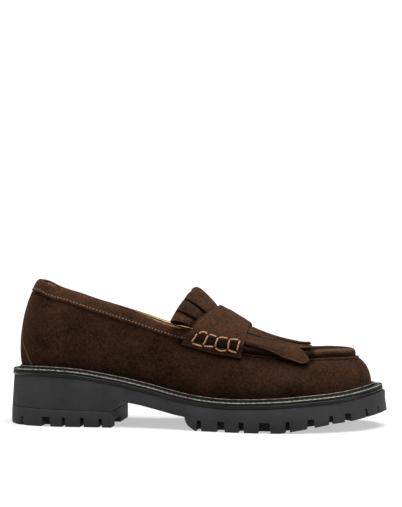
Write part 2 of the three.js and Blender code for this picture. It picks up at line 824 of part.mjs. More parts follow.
let outsole = treadWall.intersect(outsoleSide);
let heelLift = treadWall.intersect(liftSide).subtract(heelField);
notchRows.forEach((row) => {
  [-1, 1].forEach((side) => {
    if (along(row.at) < breast) heelLift = heelLift.subtract(notchAt(row, side));
    else outsole = outsole.subtract(notchAt(row, side));
  });
});
outsole = outsole.subtract(forefootField);
add("outsole", outsole, rubber);
add("heel_lift", heelLift, rubber);

// The midsole, the storm welt and the insole
const bandPlan = standing(outline(planSteps, weltInset), 0, 2 * heelSeat);
add("midsole", bandPlan.intersect(between((x) => seat(x) + seatGap, midsoleTop)), midsoleRubber);

const footRing = (extra) => turns.map((turn) => {
  const { x, y, way, reach } = spoke(turn);
  return new THREE.Vector2(x + way.x * (reach + extra), y + way.y * (reach + extra));
});
const weltHole = standing(footRing(seatGap), 0, 3 * heelSeat);
const ribPlan = standing(footRing(seatGap + ribWidth), 0, 3 * heelSeat);
const weltFlat = bandPlan.intersect(between(upperFoot, weltTop));
const weltRib = ribPlan.intersect(between(upperFoot, ribTop));
add("welt", weltFlat.add(weltRib).subtract(weltHole), weltLeather);

const insolePlan = standing(footRing(-upperWall - insoleClearance), 0, 2 * heelSeat);
const insoleTop = (x) => upperFoot(x) + insoleThickness;
add("insole", insolePlan.intersect(between(upperFoot, insoleTop)), sockLeather);

// The upper
const outerDome = dome(outerLevels, (turn, l) => surface(turn, l, 0));
const innerDome = dome(innerLevels, (turn, l) => onLast(turn, l, -upperWall));
const underUpper = between(() => -margin, upperFoot);
let upper = outerDome.subtract(innerDome).subtract(underUpper);
[-1, 1].forEach((side) => {
  upper = upper.subtract(overCollar(side));
});
add("upper", upper, suede);

// Pieces that lie on the upper
const turnAt = (x, side) => {
  const share = (x - heelCentre) / (toeCentre - heelCentre);
  return side < 0 ? share : 3 - share;
};

function levelAt(turn, height) {
  let low = 0;
  let high = 2;
  for (let i = 0; i < 30; i += 1) {
    const middle = (low + high) / 2;
    if (bare(turn, middle).z > height) low = middle;
    else high = middle;
  }
  return (low + high) / 2;
}

// A sheet of even thickness from rows of places on the upper
function leather(places, rest, thickness) {
  const layer = (extra) => places.map((row) => row.map(([turn, l, lift = 0]) => {
    return surface(turn, l, rest + lift + extra).toArray();
  }));
  return sheetOf(layer(thickness), layer(0));
}

const bandLine = lineThrough(
  [
    { at: 0.06, width: 1 },
    { at: 0.3, width: 0.97 },
    { at: 0.42, width: 0.78 },
    { at: 0.5, width: 0.76 },
  ],
  (row) => row.width * bandWidth,
);
function bandEnd(side, share) {
  let x = along(0.5);
  for (let i = 0; i < 8; i += 1) {
    const turn = turnAt(x, side);
    const place = levelAt(turn, collar(x, side) - share * bandLine(x));
    x = along(edgeAt(strapRows, place, "rear")) - seatGap - facetGap;
  }
  return turnAt(x, side);
}

// The binding runs from the strap round the heel to the strap: 0 to 1 is the outer side, 1 to 2
// the round of the heel and 2 to 3 the inner side.
const bandSteps = 16;
const bandWay = [];
for (let i = 0; i < bandSteps; i += 1) bandWay.push(i / bandSteps);
for (let i = 0; i < heelSpokes; i += 1) bandWay.push(1 + i / heelSpokes);
for (let i = 0; i <= bandSteps; i += 1) bandWay.push(2 + i / bandSteps);
const bandPlaces = bandWay.map((way) => {
  return [1, 0.5, 0].map((share) => {
    let turn = 1 - way;
    if (way < 1) turn = bandEnd(-1, share) * (1 - way);
    if (way > 2) turn = 3 - (3 - bandEnd(1, share)) * (way - 2);
    let place = 1;
    for (let i = 0; i < 4; i += 1) {
      const { x, y } = bare(turn, place);
      place = levelAt(turn, collar(x, y) - share * bandLine(x));
    }
    return [turn, place];
  });
});
add("collar_band", leather(bandPlaces, seatGap, bandThickness), bandSuede);

const heelStripTop = backHeight - bandWidth - 2 * seatGap;
const heelStripFoot = ribTop(back) + 3 * seatGap;
const heelStripPlaces = [];
const heelStripSteps = 8;
const heelTurn = 3.5; // the spoke at the very back of the shoe
for (let i = 0; i <= heelStripSteps; i += 1) {
  const z = heelStripTop + ((heelStripFoot - heelStripTop) * i) / heelStripSteps;
  const next = Math.max(heelStripRows.findIndex((row) => row.up * backHeight > z), 1);
  const [a, b] = [heelStripRows[next - 1], heelStripRows[next]];
  const t = (z / backHeight - a.up) / (b.up - a.up);
  const half = (a.half + (b.half - a.half) * t) * heelWidth;
  const swing = half / (spoke(heelTurn).reach * Math.PI);
  heelStripPlaces.push([-1, -0.7, -0.42, -0.14, 0.14, 0.42, 0.7, 1].map((share) => {
    const turn = heelTurn + swing * share;
    return [turn, levelAt(turn, z)];
  }));
}
add("heel_strip", leather(heelStripPlaces, seatGap + facetGap, heelStripThickness), suede);

function edgeAt(rows, side, key) {
  const s = Math.abs(side);
  const next = Math.max(rows.findIndex((row) => row.side >= s), 1);
  const [a, b] = [rows[next - 1], rows[next]];
  return a[key] + ((b[key] - a[key]) * (s - a.side)) / (b.side - a.side);
}

// The strap rests on the kiltie over the instep and comes down to the upper at its ends.
const kiltieSide = 0.86;
const strapShares = [-1, -0.9, -0.81, -0.73, -0.63, -0.5, -0.37, -0.24, -0.1];
strapShares.push(...strapShares.map((share) => -share).reverse());
const onKiltie = kiltieThickness + seatGap + 3 * facetGap;
const strapPlaces = strapShares.map((share) => {
  return [0, 0.12, 0.37, 0.63, 0.88, 1].map((t) => {
    const side = share * (strapSide.rear + (strapSide.front - strapSide.rear) * t);
    const rear = along(edgeAt(strapRows, side, "rear"));
    const far = along(edgeAt(strapRows, side, "front"));
    const x = rear + (far - rear) * t;
    const over = 1 - smooth((Math.abs(side) - kiltieSide - 0.12) / 0.2);
    return [turnAt(x, Math.sign(share)), Math.abs(side), over * onKiltie];
  });
});
add("strap", leather(strapPlaces, seatGap + facetGap, strapThickness), suede);

// The kiltie: a sheet under the strap, the fringe in front of it and the loops behind it
const webSides = [];
for (let i = -6; i <= 6; i += 1) webSides.push((kiltieSide * i) / 6);
const webPlaces = webSides.map((side) => {
  const rear = along(edgeAt(strapRows, side, "hinge"));
  const far = along(edgeAt(strapRows, side, "front"));
  return [-0.02, 0.25, 0.5, 0.75, 0.98].map((t) => {
    return [turnAt(rear + (far - rear) * t, Math.sign(side) || 1), Math.abs(side)];
  });
});
const kiltieRest = seatGap + 2 * facetGap;
let kiltie = leather(webPlaces, kiltieRest, kiltieThickness);

const fringeTuck = 2.5; // how far the strips reach in under the strap
fringeRows.forEach(({ root, tip, length, lift }) => {
  const rows = [0, 0.2, 0.4, 0.6, 0.8, 1].map((t) => {
    return [0, 0.33, 0.67, 1].map((share) => {
      const atRoot = root[0] + (root[1] - root[0]) * share;
      const atTip = tip[0] + (tip[1] - tip[0]) * share;
      const side = atRoot + (atTip - atRoot) * smooth(t * 0.5 + t * t * 0.5);
      const start = along(edgeAt(strapRows, atRoot, "front")) - fringeTuck;
      const end = fringeReach * (length[0] + (length[1] - length[0]) * share);
      const x = start + (end - start) * t;
      return [turnAt(x, Math.sign(side) || 1), Math.abs(side), lift * t * t];
    });
  });
  kiltie = kiltie.add(leather(rows, kiltieRest, kiltieThickness));
});

function loopPoint(side, row, extra) {
  const hand = Math.sign(side) || 1;
  const turn = turnAt(along(edgeAt(strapRows, side, "hinge")), hand);
  const l = Math.abs(side);
  const middle = kiltieRest + kiltieThickness / 2;
  const base = surface(turn, l, middle);
  const fold = (key) => edgeAt(foldRows, l, key);
  const out = new THREE.Vector3(-fold("back"), -hand * fold("inward"), fold("rise"));
  const reach = out.length() * loopReach;
  out.normalize();
  const up = outward(turn, l);
  up.addScaledVector(out, -up.dot(out)).normalize();
  const before = loopRows[Math.max(row - 1, 0)];
  const after = loopRows[Math.min(row + 1, loopRows.length - 1)];
  const run = (after.out - before.out) * reach;
  const climb = (after.up - before.up) * loopOpening;
  const long = Math.hypot(run, climb);
  const clear = 1.5 * l * l * smooth(loopRows[row].out / 0.12);
  return base
    .addScaledVector(out, loopRows[row].out * reach - (extra * climb) / long)
    .addScaledVector(up, loopRows[row].up * loopOpening + clear + (extra * run) / long)
    .toArray();
}
loopSides.forEach(([near, far]) => {
  const half = kiltieThickness / 2;
  [
    [0, loopTurn + 1],
    [loopTurn, loopRows.length - 1],
  ].forEach(([from, to]) => {
    const layer = (extra) => {
      const rows = [];
      for (let row = from; row <= to; row += 1) {
        rows.push([0, 1].map((share) => {
          return loopPoint(near + (far - near) * share, row, extra);
        }));
      }
      return rows;
    };
    kiltie = kiltie.add(sheetOf(layer(half), layer(-half)));
  });
});
add("kiltie", kiltie, kiltieSuede);

// The origin is at the middle of the shoe's extent, on the ground.
const extent = new THREE.Box3().setFromObject(shoe);
const middle = extent.getCenter(new THREE.Vector3());
shoe.children.forEach((piece) => {
  piece.geometry.translate(-middle.x, -middle.y, -extent.min.z);
});

export default shoe;
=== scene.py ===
# A dark brown suede loafer with a fringed kiltie, a saddle strap and a black lug sole.
# The tables and shape functions are in millimetres: X from heel to toe, Y from the outer side
# (negative) to the inner side, Z up. A mesh is made in metres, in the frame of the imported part.
import math

import bmesh
import bpy
import numpy as np
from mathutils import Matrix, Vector


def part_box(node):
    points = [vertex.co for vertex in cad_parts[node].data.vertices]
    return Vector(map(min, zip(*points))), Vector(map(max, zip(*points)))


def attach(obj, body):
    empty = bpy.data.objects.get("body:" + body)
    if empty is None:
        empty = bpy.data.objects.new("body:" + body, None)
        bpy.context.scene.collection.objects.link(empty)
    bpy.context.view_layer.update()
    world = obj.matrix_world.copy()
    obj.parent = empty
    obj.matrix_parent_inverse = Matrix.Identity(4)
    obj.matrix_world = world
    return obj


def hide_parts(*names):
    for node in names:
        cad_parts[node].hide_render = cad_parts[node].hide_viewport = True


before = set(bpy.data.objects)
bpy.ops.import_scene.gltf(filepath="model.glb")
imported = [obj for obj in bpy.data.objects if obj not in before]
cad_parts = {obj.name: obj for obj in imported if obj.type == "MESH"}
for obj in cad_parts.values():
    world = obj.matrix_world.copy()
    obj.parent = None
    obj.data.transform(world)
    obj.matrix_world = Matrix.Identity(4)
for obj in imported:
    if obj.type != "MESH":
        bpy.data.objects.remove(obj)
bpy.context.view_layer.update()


def table(columns, *rows):
    names = columns.split()
    return [dict(zip(names, row)) for row in rows]


# Sizes of the sole
sole = {
    "length": 282.0, "ballWidth": 102.0, "heelWidth": 65.0, "toeTipSwing": 8.0, "heelLength": 83.0,
    "heelSeat": 36.0, "ballSeat": 15.7, "toeSeat": 26.9,
}
planRows = table(
    "at across lateral medial",
    (0.012, "heelWidth", 0.2, 0.2),
    (0.04, "heelWidth", 0.36, 0.36),
    (0.117, "heelWidth", 0.5, 0.5),
    (0.266, "heelWidth", 0.51, 0.49),
    (0.408, "ballWidth", 0.355, 0.295),
    (0.532, "ballWidth", 0.435, 0.355),
    (0.638, "ballWidth", 0.493, 0.452),
    (0.727, "ballWidth", 0.5, 0.495),
    (0.833, "ballWidth", 0.44, 0.462),
    (0.922, "ballWidth", 0.305, 0.385),
    (0.979, "ballWidth", 0.115, 0.25),
)
seatRows = table(
    "at heel toe",
    (0, 1.0, 0), (0.1, 1.02, 0), (0.157, 0.99, 0), (0.211, 0.92, 0), (0.264, 0.8, 0),
    (0.317, 0.67, 0), (0.397, 0.43, 0), (0.45, 0.25, 0), (0.503, 0.11, 0), (0.557, 0.025, 0),
    (0.62, 0, 0), (0.73, 0, 0.115), (0.78, 0, 0.215), (0.88, 0, 0.45), (0.95, 0, 0.745), (1, 0, 1),
)
layers = {
    "gap": 0.3, "midsole": 2.6, "welt": 1.6, "edge": 1.2, "edgeAtToe": 3.6, "ribRise": 2.1,
    "ribWidth": 2.0, "featherAtHeel": 8.6, "featherAtBall": 9.4, "featherAtToe": 11.4,
    "insole": 3.0,
}
length = sole["length"]
back = -length / 2
breast = back + sole["heelLength"]
heelCentre = -length * 0.38
toeCentre = length * 0.34


def along(share):
    return back + length * share


def smooth(t):
    k = np.clip(t, 0, 1)
    return k * k * (3 - 2 * k)


def lineThrough(rows, value):
    xs = np.array([along(row["at"]) for row in rows])
    ys = np.array([value(row) for row in rows], float)
    last = len(xs) - 1
    before = np.maximum(np.arange(len(xs)) - 1, 0)
    after = np.minimum(np.arange(len(xs)) + 1, last)
    slope = (ys[after] - ys[before]) / (xs[after] - xs[before])

    def line(x):
        x = np.clip(np.asarray(x, float), xs[0], xs[-1])
        i = np.clip(np.searchsorted(xs, x, side="right") - 1, 0, last - 1)
        span = xs[i + 1] - xs[i]
        t = (x - xs[i]) / span
        rise = t * t * (3 - 2 * t)
        leave = span * slope[i] * t * (1 - t) ** 2
        arrive = span * slope[i + 1] * t * t * (1 - t)
        return ys[i] + (ys[i + 1] - ys[i]) * rise + leave - arrive

    return line


seat = lineThrough(
    seatRows,
    lambda row: sole["ballSeat"]
    + (sole["heelSeat"] - sole["ballSeat"]) * row["heel"]
    + (sole["toeSeat"] - sole["ballSeat"]) * row["toe"],
)
def midsoleTop(x):
    return seat(x) + layers["gap"] + layers["midsole"]


def upperFoot(x):
    return midsoleTop(x) + layers["gap"]


def weltTop(x):
    return upperFoot(x) + layers["welt"]


def ribTop(x):
    return weltTop(x) + layers["ribRise"]


# The outline of the tread, as a closed smooth curve
def closedCurve(points, steps):
    p = [np.roll(points, 1 - k, axis=0) for k in range(4)]
    gap = [np.maximum(((p[k + 1] - p[k]) ** 2).sum(1) ** 0.25, 1e-4)[:, None] for k in range(3)]
    leave = (p[1] - p[0]) / gap[0] - (p[2] - p[0]) / (gap[0] + gap[1]) + (p[2] - p[1]) / gap[1]
    arrive = (p[2] - p[1]) / gap[1] - (p[3] - p[1]) / (gap[1] + gap[2]) + (p[3] - p[2]) / gap[2]
    leave, arrive = leave * gap[1], arrive * gap[1]
    t = (np.arange(steps) / steps)[None, :, None]
    a, b, m, n = (v[:, None, :] for v in (p[1], p[2], leave, arrive))
    curve = a + m * t + (3 * (b - a) - 2 * m - n) * t**2 + (2 * (a - b) + m + n) * t**3
    return curve.reshape(-1, 2)


planPoints = (
    [(back, 0)]
    + [(along(row["at"]), -sole[row["across"]] * row["lateral"]) for row in planRows]
    + [(-back, sole["toeTipSwing"])]
    + [(along(row["at"]), sole[row["across"]] * row["medial"]) for row in planRows][::-1]
)
planFine = closedCurve(np.array(planPoints, float), 60)
planLoop = np.vstack([planFine, planFine[:1]])
planRun = np.r_[0, np.cumsum(np.linalg.norm(np.diff(planLoop, axis=0), axis=1))]


def planAt(run):
    run = np.mod(run, planRun[-1])
    return np.stack([np.interp(run, planRun, planLoop[:, k]) for k in (0, 1)], -1)


def outline(steps, inset):
    run = np.arange(steps) / steps * planRun[-1]
    point = planAt(run)
    way = planAt(run + 0.7) - planAt(run - 0.7)
    way /= np.linalg.norm(way, axis=1)[:, None]
    d = inset(point[:, 0]) * np.ones(steps)
    return point + np.stack([-way[:, 1] * d, way[:, 0] * d], -1)


feather = lineThrough(
    table(
        "at inset",
        (0.1, layers["featherAtHeel"]),
        (0.5, layers["featherAtBall"]),
        (0.8, layers["featherAtBall"]),
        (1, layers["featherAtToe"]),
    ),
    lambda row: row["inset"],
)
weltInset = lineThrough(
    table("at inset", (0.9, layers["edge"]), (1, layers["edgeAtToe"])), lambda row: row["inset"]
)
middleOfPlan = (planFine[:, 1].min() + planFine[:, 1].max()) / 2
shift = np.array([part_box("heel_lift")[1].x * 1000 - breast, -middleOfPlan, 0.0])


def toFrame(points):
    return (np.asarray(points, float) + shift) / 1000


# The last that the upper is pulled over. A spoke runs from the spine to the foot of the upper,
# counted round the shoe: 0 to 1 along the outer side, 1 to 2 round the toe, 2 to 3 back along the
# inner side and 3 to 4 round the heel. level is 0 at the crown, 1 at the apron seam, 2 at the foot.
last = {
    "wall": 2.0, "instepHeight": 88.5, "toeHeight": 55.0, "backHeight": 108.0,
    "ankleHeight": 119.0, "heelBulge": 2.0, "sideBulge": 2.0, "toeBulge": -0.6, "heelLean": 1.6,
    "seamHeight": 50.6,
}
lastRows = table(
    "at of crown square seam",
    (0.12, "ankleHeight", 1, 2.12, 0.4),
    (0.22, "ankleHeight", 1.004, 2.15, 0.37),
    (0.3, "ankleHeight", 0.968, 2.2, 0.34),
    (0.39, "ankleHeight", 0.89, 2.35, 0.28),
    (0.47, "instepHeight", 1.07, 2.5, 0.215),
    (0.528, "instepHeight", 0.99, 2.5, 0.135),
    (0.558, "instepHeight", 0.945, 2.45, 0.1),
    (0.6, "instepHeight", 0.862, 2.4, 0.074),
    (0.635, "instepHeight", 0.796, 2.4, 0.053),
    (0.7, "toeHeight", 1.14, 2.4, 0.025),
    (0.745, "toeHeight", 1.068, 2.4, 0.01),
    (0.785, "toeHeight", 1.022, 2.35, 0),
    (0.84, "toeHeight", 1.018, 2.3, 0.008),
)
collarRows = table(
    "at up drop",
    (0.06, 1, 0), (0.087, 0.989, 0.003), (0.115, 0.957, 0.012), (0.14, 0.9395, 0.02),
    (0.17, 0.921, 0.025), (0.22, 0.877, 0.026), (0.285, 0.824, 0.022), (0.365, 0.7525, 0.014),
    (0.42, 0.698, 0.008), (0.47, 0.663, 0.005), (0.502, 0.654, 0.002), (0.52, 0.69, 0),
    (0.528, 0.76, 0), (0.531, 0.86, 0),
)
apron = {"edge": 4.3, "middle": 2.2, "roll": 3.8, "level": 14.0, "bead": 0.75, "beadAt": -1.7,
         "beadHalf": 1.35, "groove": 0.55, "grooveAt": -0.15, "outerGroove": 0.3,
         "outerGrooveAt": -3.2, "hang": 11.0, "turnAt": 0.74, "turnOver": 0.08, "turned": 0.75}

crown = lineThrough(lastRows, lambda row: last[row["of"]] * row["crown"])
square = lineThrough(lastRows, lambda row: row["square"])
seamLine = lineThrough(
    lastRows, lambda row: last["seamHeight"] + last["instepHeight"] * row["seam"]
)
bulge = lineThrough(
    table("at out", (0.12, last["heelBulge"]), (0.35, last["sideBulge"]),
          (0.75, last["sideBulge"]), (0.84, last["toeBulge"])),
    lambda row: row["out"],
)
featherLine = outline(640, feather)


def hit(x, y, wayX, wayY):
    a = featherLine
    e = np.roll(a, -1, axis=0) - a
    det = -wayX[:, None] * e[:, 1] + wayY[:, None] * e[:, 0]
    det = np.where(np.abs(det) < 1e-12, 1e-12, det)
    dx, dy = a[:, 0] - x[:, None], a[:, 1] - y[:, None]
    t = (-dx * e[:, 1] + dy * e[:, 0]) / det
    s = (wayX[:, None] * dy - wayY[:, None] * dx) / det
    return np.where((s >= -1e-9) & (s <= 1 + 1e-9), t, 0).max(1)


def makeSpokes():
    turn = np.linspace(0, 4, 6401)
    part = np.minimum(turn.astype(int), 3)
    x = np.select(
        [part == 0, part == 1, part == 2],
        [heelCentre + (toeCentre - heelCentre) * turn, toeCentre,
         toeCentre + (heelCentre - toeCentre) * (turn - 2)],
        heelCentre,
    )
    angle = np.select([part == 0, part == 1, part == 2], [-0.5, turn - 1.5, 0.5], turn - 2.5)
    wayX, wayY = np.cos(angle * math.pi), np.sin(angle * math.pi)
    zero = np.zeros_like(x)
    outer = hit(x, zero, zero, zero - 1)
    inner = hit(x, zero, zero, zero + 1)
    y = (inner - outer) / 2
    reach = hit(x, y, wayX, wayY)
    foot = ribTop(x + wayX * reach)
    height = crown(x) - foot
    rise = np.minimum((seamLine(x) - foot) / height, 0.97)
    seam = np.arcsin(rise ** (square(x) / 2))
    return {"turn": turn, "x": x, "y": y, "wayX": wayX, "wayY": wayY, "reach": reach,
            "foot": foot, "height": height, "seam": seam}


spokes = makeSpokes()


def spokeAt(turn, *keys):
    s = np.mod(turn, 4)
    return [np.interp(s, spokes["turn"], spokes[key]) for key in keys]


def bare(turn, level):
    turn, level = np.broadcast_arrays(np.asarray(turn, float), np.asarray(level, float))
    x, y, wayX, wayY, reach, foot, height, seam = spokeAt(
        turn, "x", "y", "wayX", "wayY", "reach", "foot", "height", "seam"
    )
    angle = np.where(level <= 1, math.pi / 2 - level * (math.pi / 2 - seam), seam * (2 - level))
    angle = np.clip(angle, 0, math.pi / 2)
    power = 2 / square(x)
    inward, up = np.cos(angle) ** power, np.sin(angle) ** power
    hump = up**0.6 * np.clip(1 - up, 0, 1) ** 1.2 / 0.318
    out = reach * inward + bulge(x) * hump
    leanAt = 1 - smooth((x - heelCentre) / (length * 0.25))
    lean = last["heelLean"] * leanAt * (up / 0.79) ** 3
    z = foot + height * up - 10 * np.maximum(level - 2, 0)
    return np.stack([x + wayX * out + lean, y + wayY * out, z], -1)


def unit(v):
    return v / np.maximum(np.linalg.norm(v, axis=-1, keepdims=True), 1e-12)


def outward(turn, level):
    turn, level = np.broadcast_arrays(np.asarray(turn, float), np.asarray(level, float))
    h = 0.003
    low = np.minimum(level + h, 2)
    around = bare(turn + h, level) - bare(turn - h, level)
    up = bare(turn, low - 2 * h) - bare(turn, low)
    n = unit(np.cross(around, up))
    (x,) = spokeAt(turn, "x")
    top = np.stack([crown(x - 0.5) - crown(x + 0.5), np.zeros_like(x), np.ones_like(x)], -1)
    return np.where((level < 0.03)[..., None], unit(top), n)


apronAt = lineThrough(
    table("at rise", (0.5, 0), (0.57, 0.576), (0.7, 0.85), (0.84, 1)), lambda row: row["rise"]
)
for key, level in (("seamToCrown", 0.0), ("seamToFoot", 2.0)):
    way = bare(spokes["turn"], 1.0) - bare(spokes["turn"], level)
    spokes[key] = np.linalg.norm(way, axis=1)


def bump(t):
    return np.where(np.abs(t) < 1, np.cos(np.clip(t, -1, 1) * math.pi / 2) ** 2, 0)


def insideSeam(turn, level):
    x, toCrown, toFoot = spokeAt(turn, "x", "seamToCrown", "seamToFoot")
    return apronAt(x), (1 - level) * np.where(level < 1, toCrown, toFoot)


def plugHeight(inside):
    fall = smooth((inside - apron["roll"] * 0.6) / apron["level"])
    return apron["edge"] + (apron["middle"] - apron["edge"]) * fall


# The apron stands up inside its seam, and a bead between two fine grooves runs outside it.
def apronLift(turn, level):
    rise, inside = insideSeam(turn, level)
    pucker = 1 + 0.16 * np.sin(turn * 61) * smooth((turn - 0.9) * 5) * smooth((2.1 - turn) * 5)
    bead = apron["bead"] * bump((inside - apron["beadAt"]) / apron["beadHalf"]) * pucker
    bead -= apron["groove"] * bump((inside - apron["grooveAt"]) / 0.6)
    bead -= apron["outerGroove"] * bump((inside - apron["outerGrooveAt"]) / 0.6)
    t = np.clip((inside - apron["grooveAt"]) / apron["roll"], 0, 1)
    roll = np.sqrt(1 - (1 - t) ** 2.2) ** 0.9
    return bead * np.minimum(rise * 1.6, 1), rise * roll * plugHeight(inside)


# A piece that lies over the seam bridges the step instead of following it.
def drapeLift(turn, level):
    rise, inside = insideSeam(turn, level)
    hang = 1 - smooth((apron["roll"] - inside) / apron["hang"])
    return rise * plugHeight(np.maximum(inside, apron["roll"])) * hang


# The apron is lifted outward over the vamp and upward at the toe.
def liftWay(turn, normal):
    (x,) = spokeAt(turn, "x")
    toToe = smooth((x - along(apron["turnAt"])) / (length * apron["turnOver"]))[..., None]
    return unit(normal * (1 - apron["turned"] * toToe) + np.array([0, 0, 1.0]) * toToe)


def draped(turn, level, d):
    normal = outward(turn, level)
    up = liftWay(turn, normal) * drapeLift(turn, level)[..., None]
    return bare(turn, level) + normal * np.asarray(d)[..., None] + up


def surface(turn, level, d=0.0):
    normal = outward(turn, level)
    bead, lift = apronLift(turn, level)
    out = normal * np.asarray(d + bead)[..., None]
    return bare(turn, level) + out + liftWay(turn, normal) * lift[..., None]


def levelAt(turn, height):
    x, foot, rise, seam = spokeAt(turn, "x", "foot", "height", "seam")
    up = np.clip((height - foot) / rise, 0, 1)
    angle = np.arcsin(up ** (square(x) / 2))
    return np.where(angle >= seam, (math.pi / 2 - angle) / (math.pi / 2 - seam), 2 - angle / seam)


def turnAt(x, side):
    share = (x - heelCentre) / (toeCentre - heelCentre)
    return np.where(side < 0, share, 3 - share)


collarLevel = lineThrough(collarRows, lambda row: row["up"] * last["backHeight"])
collarDrop = lineThrough(collarRows, lambda row: row["drop"] * last["backHeight"])
throat = along(collarRows[-1]["at"])


def collar(x, y):
    return collarLevel(x) - np.where(np.asarray(y) > 0, collarDrop(x), 0)


# Mesh building
def linked(name, data):
    piece = bpy.data.objects.new(name, data)
    bpy.context.scene.collection.objects.link(piece)
    return piece


def evaluatedMesh(piece):
    depsgraph = bpy.context.evaluated_depsgraph_get()
    return bpy.data.meshes.new_from_object(piece.evaluated_get(depsgraph), depsgraph=depsgraph)


def cleaned(mesh, near, flat=None):
    work = bmesh.new()
    work.from_mesh(mesh)
    bmesh.ops.remove_doubles(work, verts=work.verts, dist=near)
    if flat:
        bmesh.ops.dissolve_limit(work, angle_limit=flat, verts=work.verts, edges=work.edges)
    bmesh.ops.recalc_face_normals(work, faces=work.faces)
    work.to_mesh(mesh)
    work.free()


def meshObject(name, points, faces, materials, which=None, tones=None):
    mesh = bpy.data.meshes.new(name)
    mesh.from_pydata([tuple(p) for p in toFrame(points)], [], [tuple(map(int, f)) for f in faces])
    for material in materials:
        mesh.materials.append(material)
    if which is not None:
        mesh.polygons.foreach_set("material_index", np.asarray(which, np.int32))
    for tone, values in (tones or {}).items():
        mesh.attributes.new(tone, "FLOAT", "POINT").data.foreach_set("value", np.ravel(values))
    cleaned(mesh, 0.00001)
    mesh.polygons.foreach_set("use_smooth", [True] * len(mesh.polygons))
    return linked(name, mesh)


def gridFaces(rows, columns, start=0, wrapRows=False, wrapColumns=False):
    i, j = np.meshgrid(
        np.arange(rows if wrapRows else rows - 1),
        np.arange(columns if wrapColumns else columns - 1), indexing="ij",
    )
    a = start + i * columns + j
    b = start + i * columns + (j + 1) % columns
    c = start + ((i + 1) % rows) * columns + (j + 1) % columns
    d = start + ((i + 1) % rows) * columns + j
    return np.stack([a, b, c, d], -1).reshape(-1, 4)


def sheetFaces(rows, columns, start=0):
    shiftTo = rows * columns
    top = gridFaces(rows, columns, start)
    under = gridFaces(rows, columns, start + shiftTo)[:, ::-1]
    i, j = np.arange(rows), np.arange(columns)
    rim = np.r_[j[:-1], (i[:-1] * columns + columns - 1), (rows - 1) * columns + j[:0:-1],
                i[:0:-1] * columns]
    rim = rim + start
    nextRim = np.roll(rim, -1)
    side = np.stack([nextRim, rim, rim + shiftTo, nextRim + shiftTo], -1)
    return np.vstack([top, under, side])


def sheetParts(parts):
    points, faces, start = [], [], 0
    for top, under in parts:
        rows, columns = top.shape[:2]
        points += [top.reshape(-1, 3), under.reshape(-1, 3)]
        faces.append(sheetFaces(rows, columns, start))
        start += 2 * rows * columns
    return np.vstack(points), np.vstack(faces)


def addModifier(piece, kind, **values):
    modifier = piece.modifiers.new(kind.lower(), kind)
    for key, value in values.items():
        setattr(modifier, key, value)
    return modifier


def applyModifiers(piece):
    made = evaluatedMesh(piece)
    piece.modifiers.clear()
    piece.data = made
    return piece


def roundEdges(piece, width, segments=2, angle=40):
    addModifier(piece, "BEVEL", width=width / 1000, segments=segments, limit_method="ANGLE",
                angle_limit=math.radians(angle), harden_normals=False)
    return applyModifiers(piece)


def place(piece, *nodes, slot=None):
    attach(piece, "root")
    if nodes:
        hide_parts(*nodes)
    return piece


# Materials
def newMaterial(name):
    material = bpy.data.materials.new(name)
    material.use_nodes = True
    return material, material.node_tree, material.node_tree.nodes["Principled BSDF"]


def setInputs(node, **values):
    for name, value in values.items():
        node.inputs[name.replace("_", " ")].default_value = value


def noiseNode(tree, scale, detail=3.0, roughness=0.6, distortion=0.0):
    coords = tree.nodes.new("ShaderNodeTexCoord")
    noise = tree.nodes.new("ShaderNodeTexNoise")
    setInputs(noise, Scale=scale, Detail=detail, Roughness=roughness, Distortion=distortion)
    tree.links.new(coords.outputs["Object"], noise.inputs["Vector"])
    return noise.outputs["Fac"]


def rangeNode(tree, value, low, high, toLow=0.0, toHigh=1.0):
    node = tree.nodes.new("ShaderNodeMapRange")
    setInputs(node, From_Min=low, From_Max=high, To_Min=toLow, To_Max=toHigh)
    tree.links.new(value, node.inputs["Value"])
    return node.outputs["Result"]


def feed(tree, socket, value):
    if isinstance(value, bpy.types.NodeSocket):
        tree.links.new(value, socket)
    else:
        socket.default_value = (*value, 1) if isinstance(value, tuple) else value


def mixColour(tree, factor, a, b):
    node = tree.nodes.new("ShaderNodeMix")
    node.data_type = "RGBA"
    for place, value in (("Factor", factor), (6, a), (7, b)):
        feed(tree, node.inputs[place], value)
    return node.outputs[2]


def math2(tree, operation, a, b):
    node = tree.nodes.new("ShaderNodeMath")
    node.operation = operation
    for socket, value in zip(node.inputs, (a, b)):
        feed(tree, socket, value)
    return node.outputs[0]


def bumpFrom(tree, shader, height, distance, strength=1.0, previous=None):
    node = tree.nodes.new("ShaderNodeBump")
    setInputs(node, Strength=strength, Distance=distance)
    tree.links.new(height, node.inputs["Height"])
    if previous is not None:
        tree.links.new(previous, node.inputs["Normal"])
    tree.links.new(node.outputs["Normal"], shader.inputs["Normal"])
    return node.outputs["Normal"]


def attributeNode(tree, name):
    node = tree.nodes.new("ShaderNodeAttribute")
    node.attribute_name = name
    return node.outputs["Fac"]


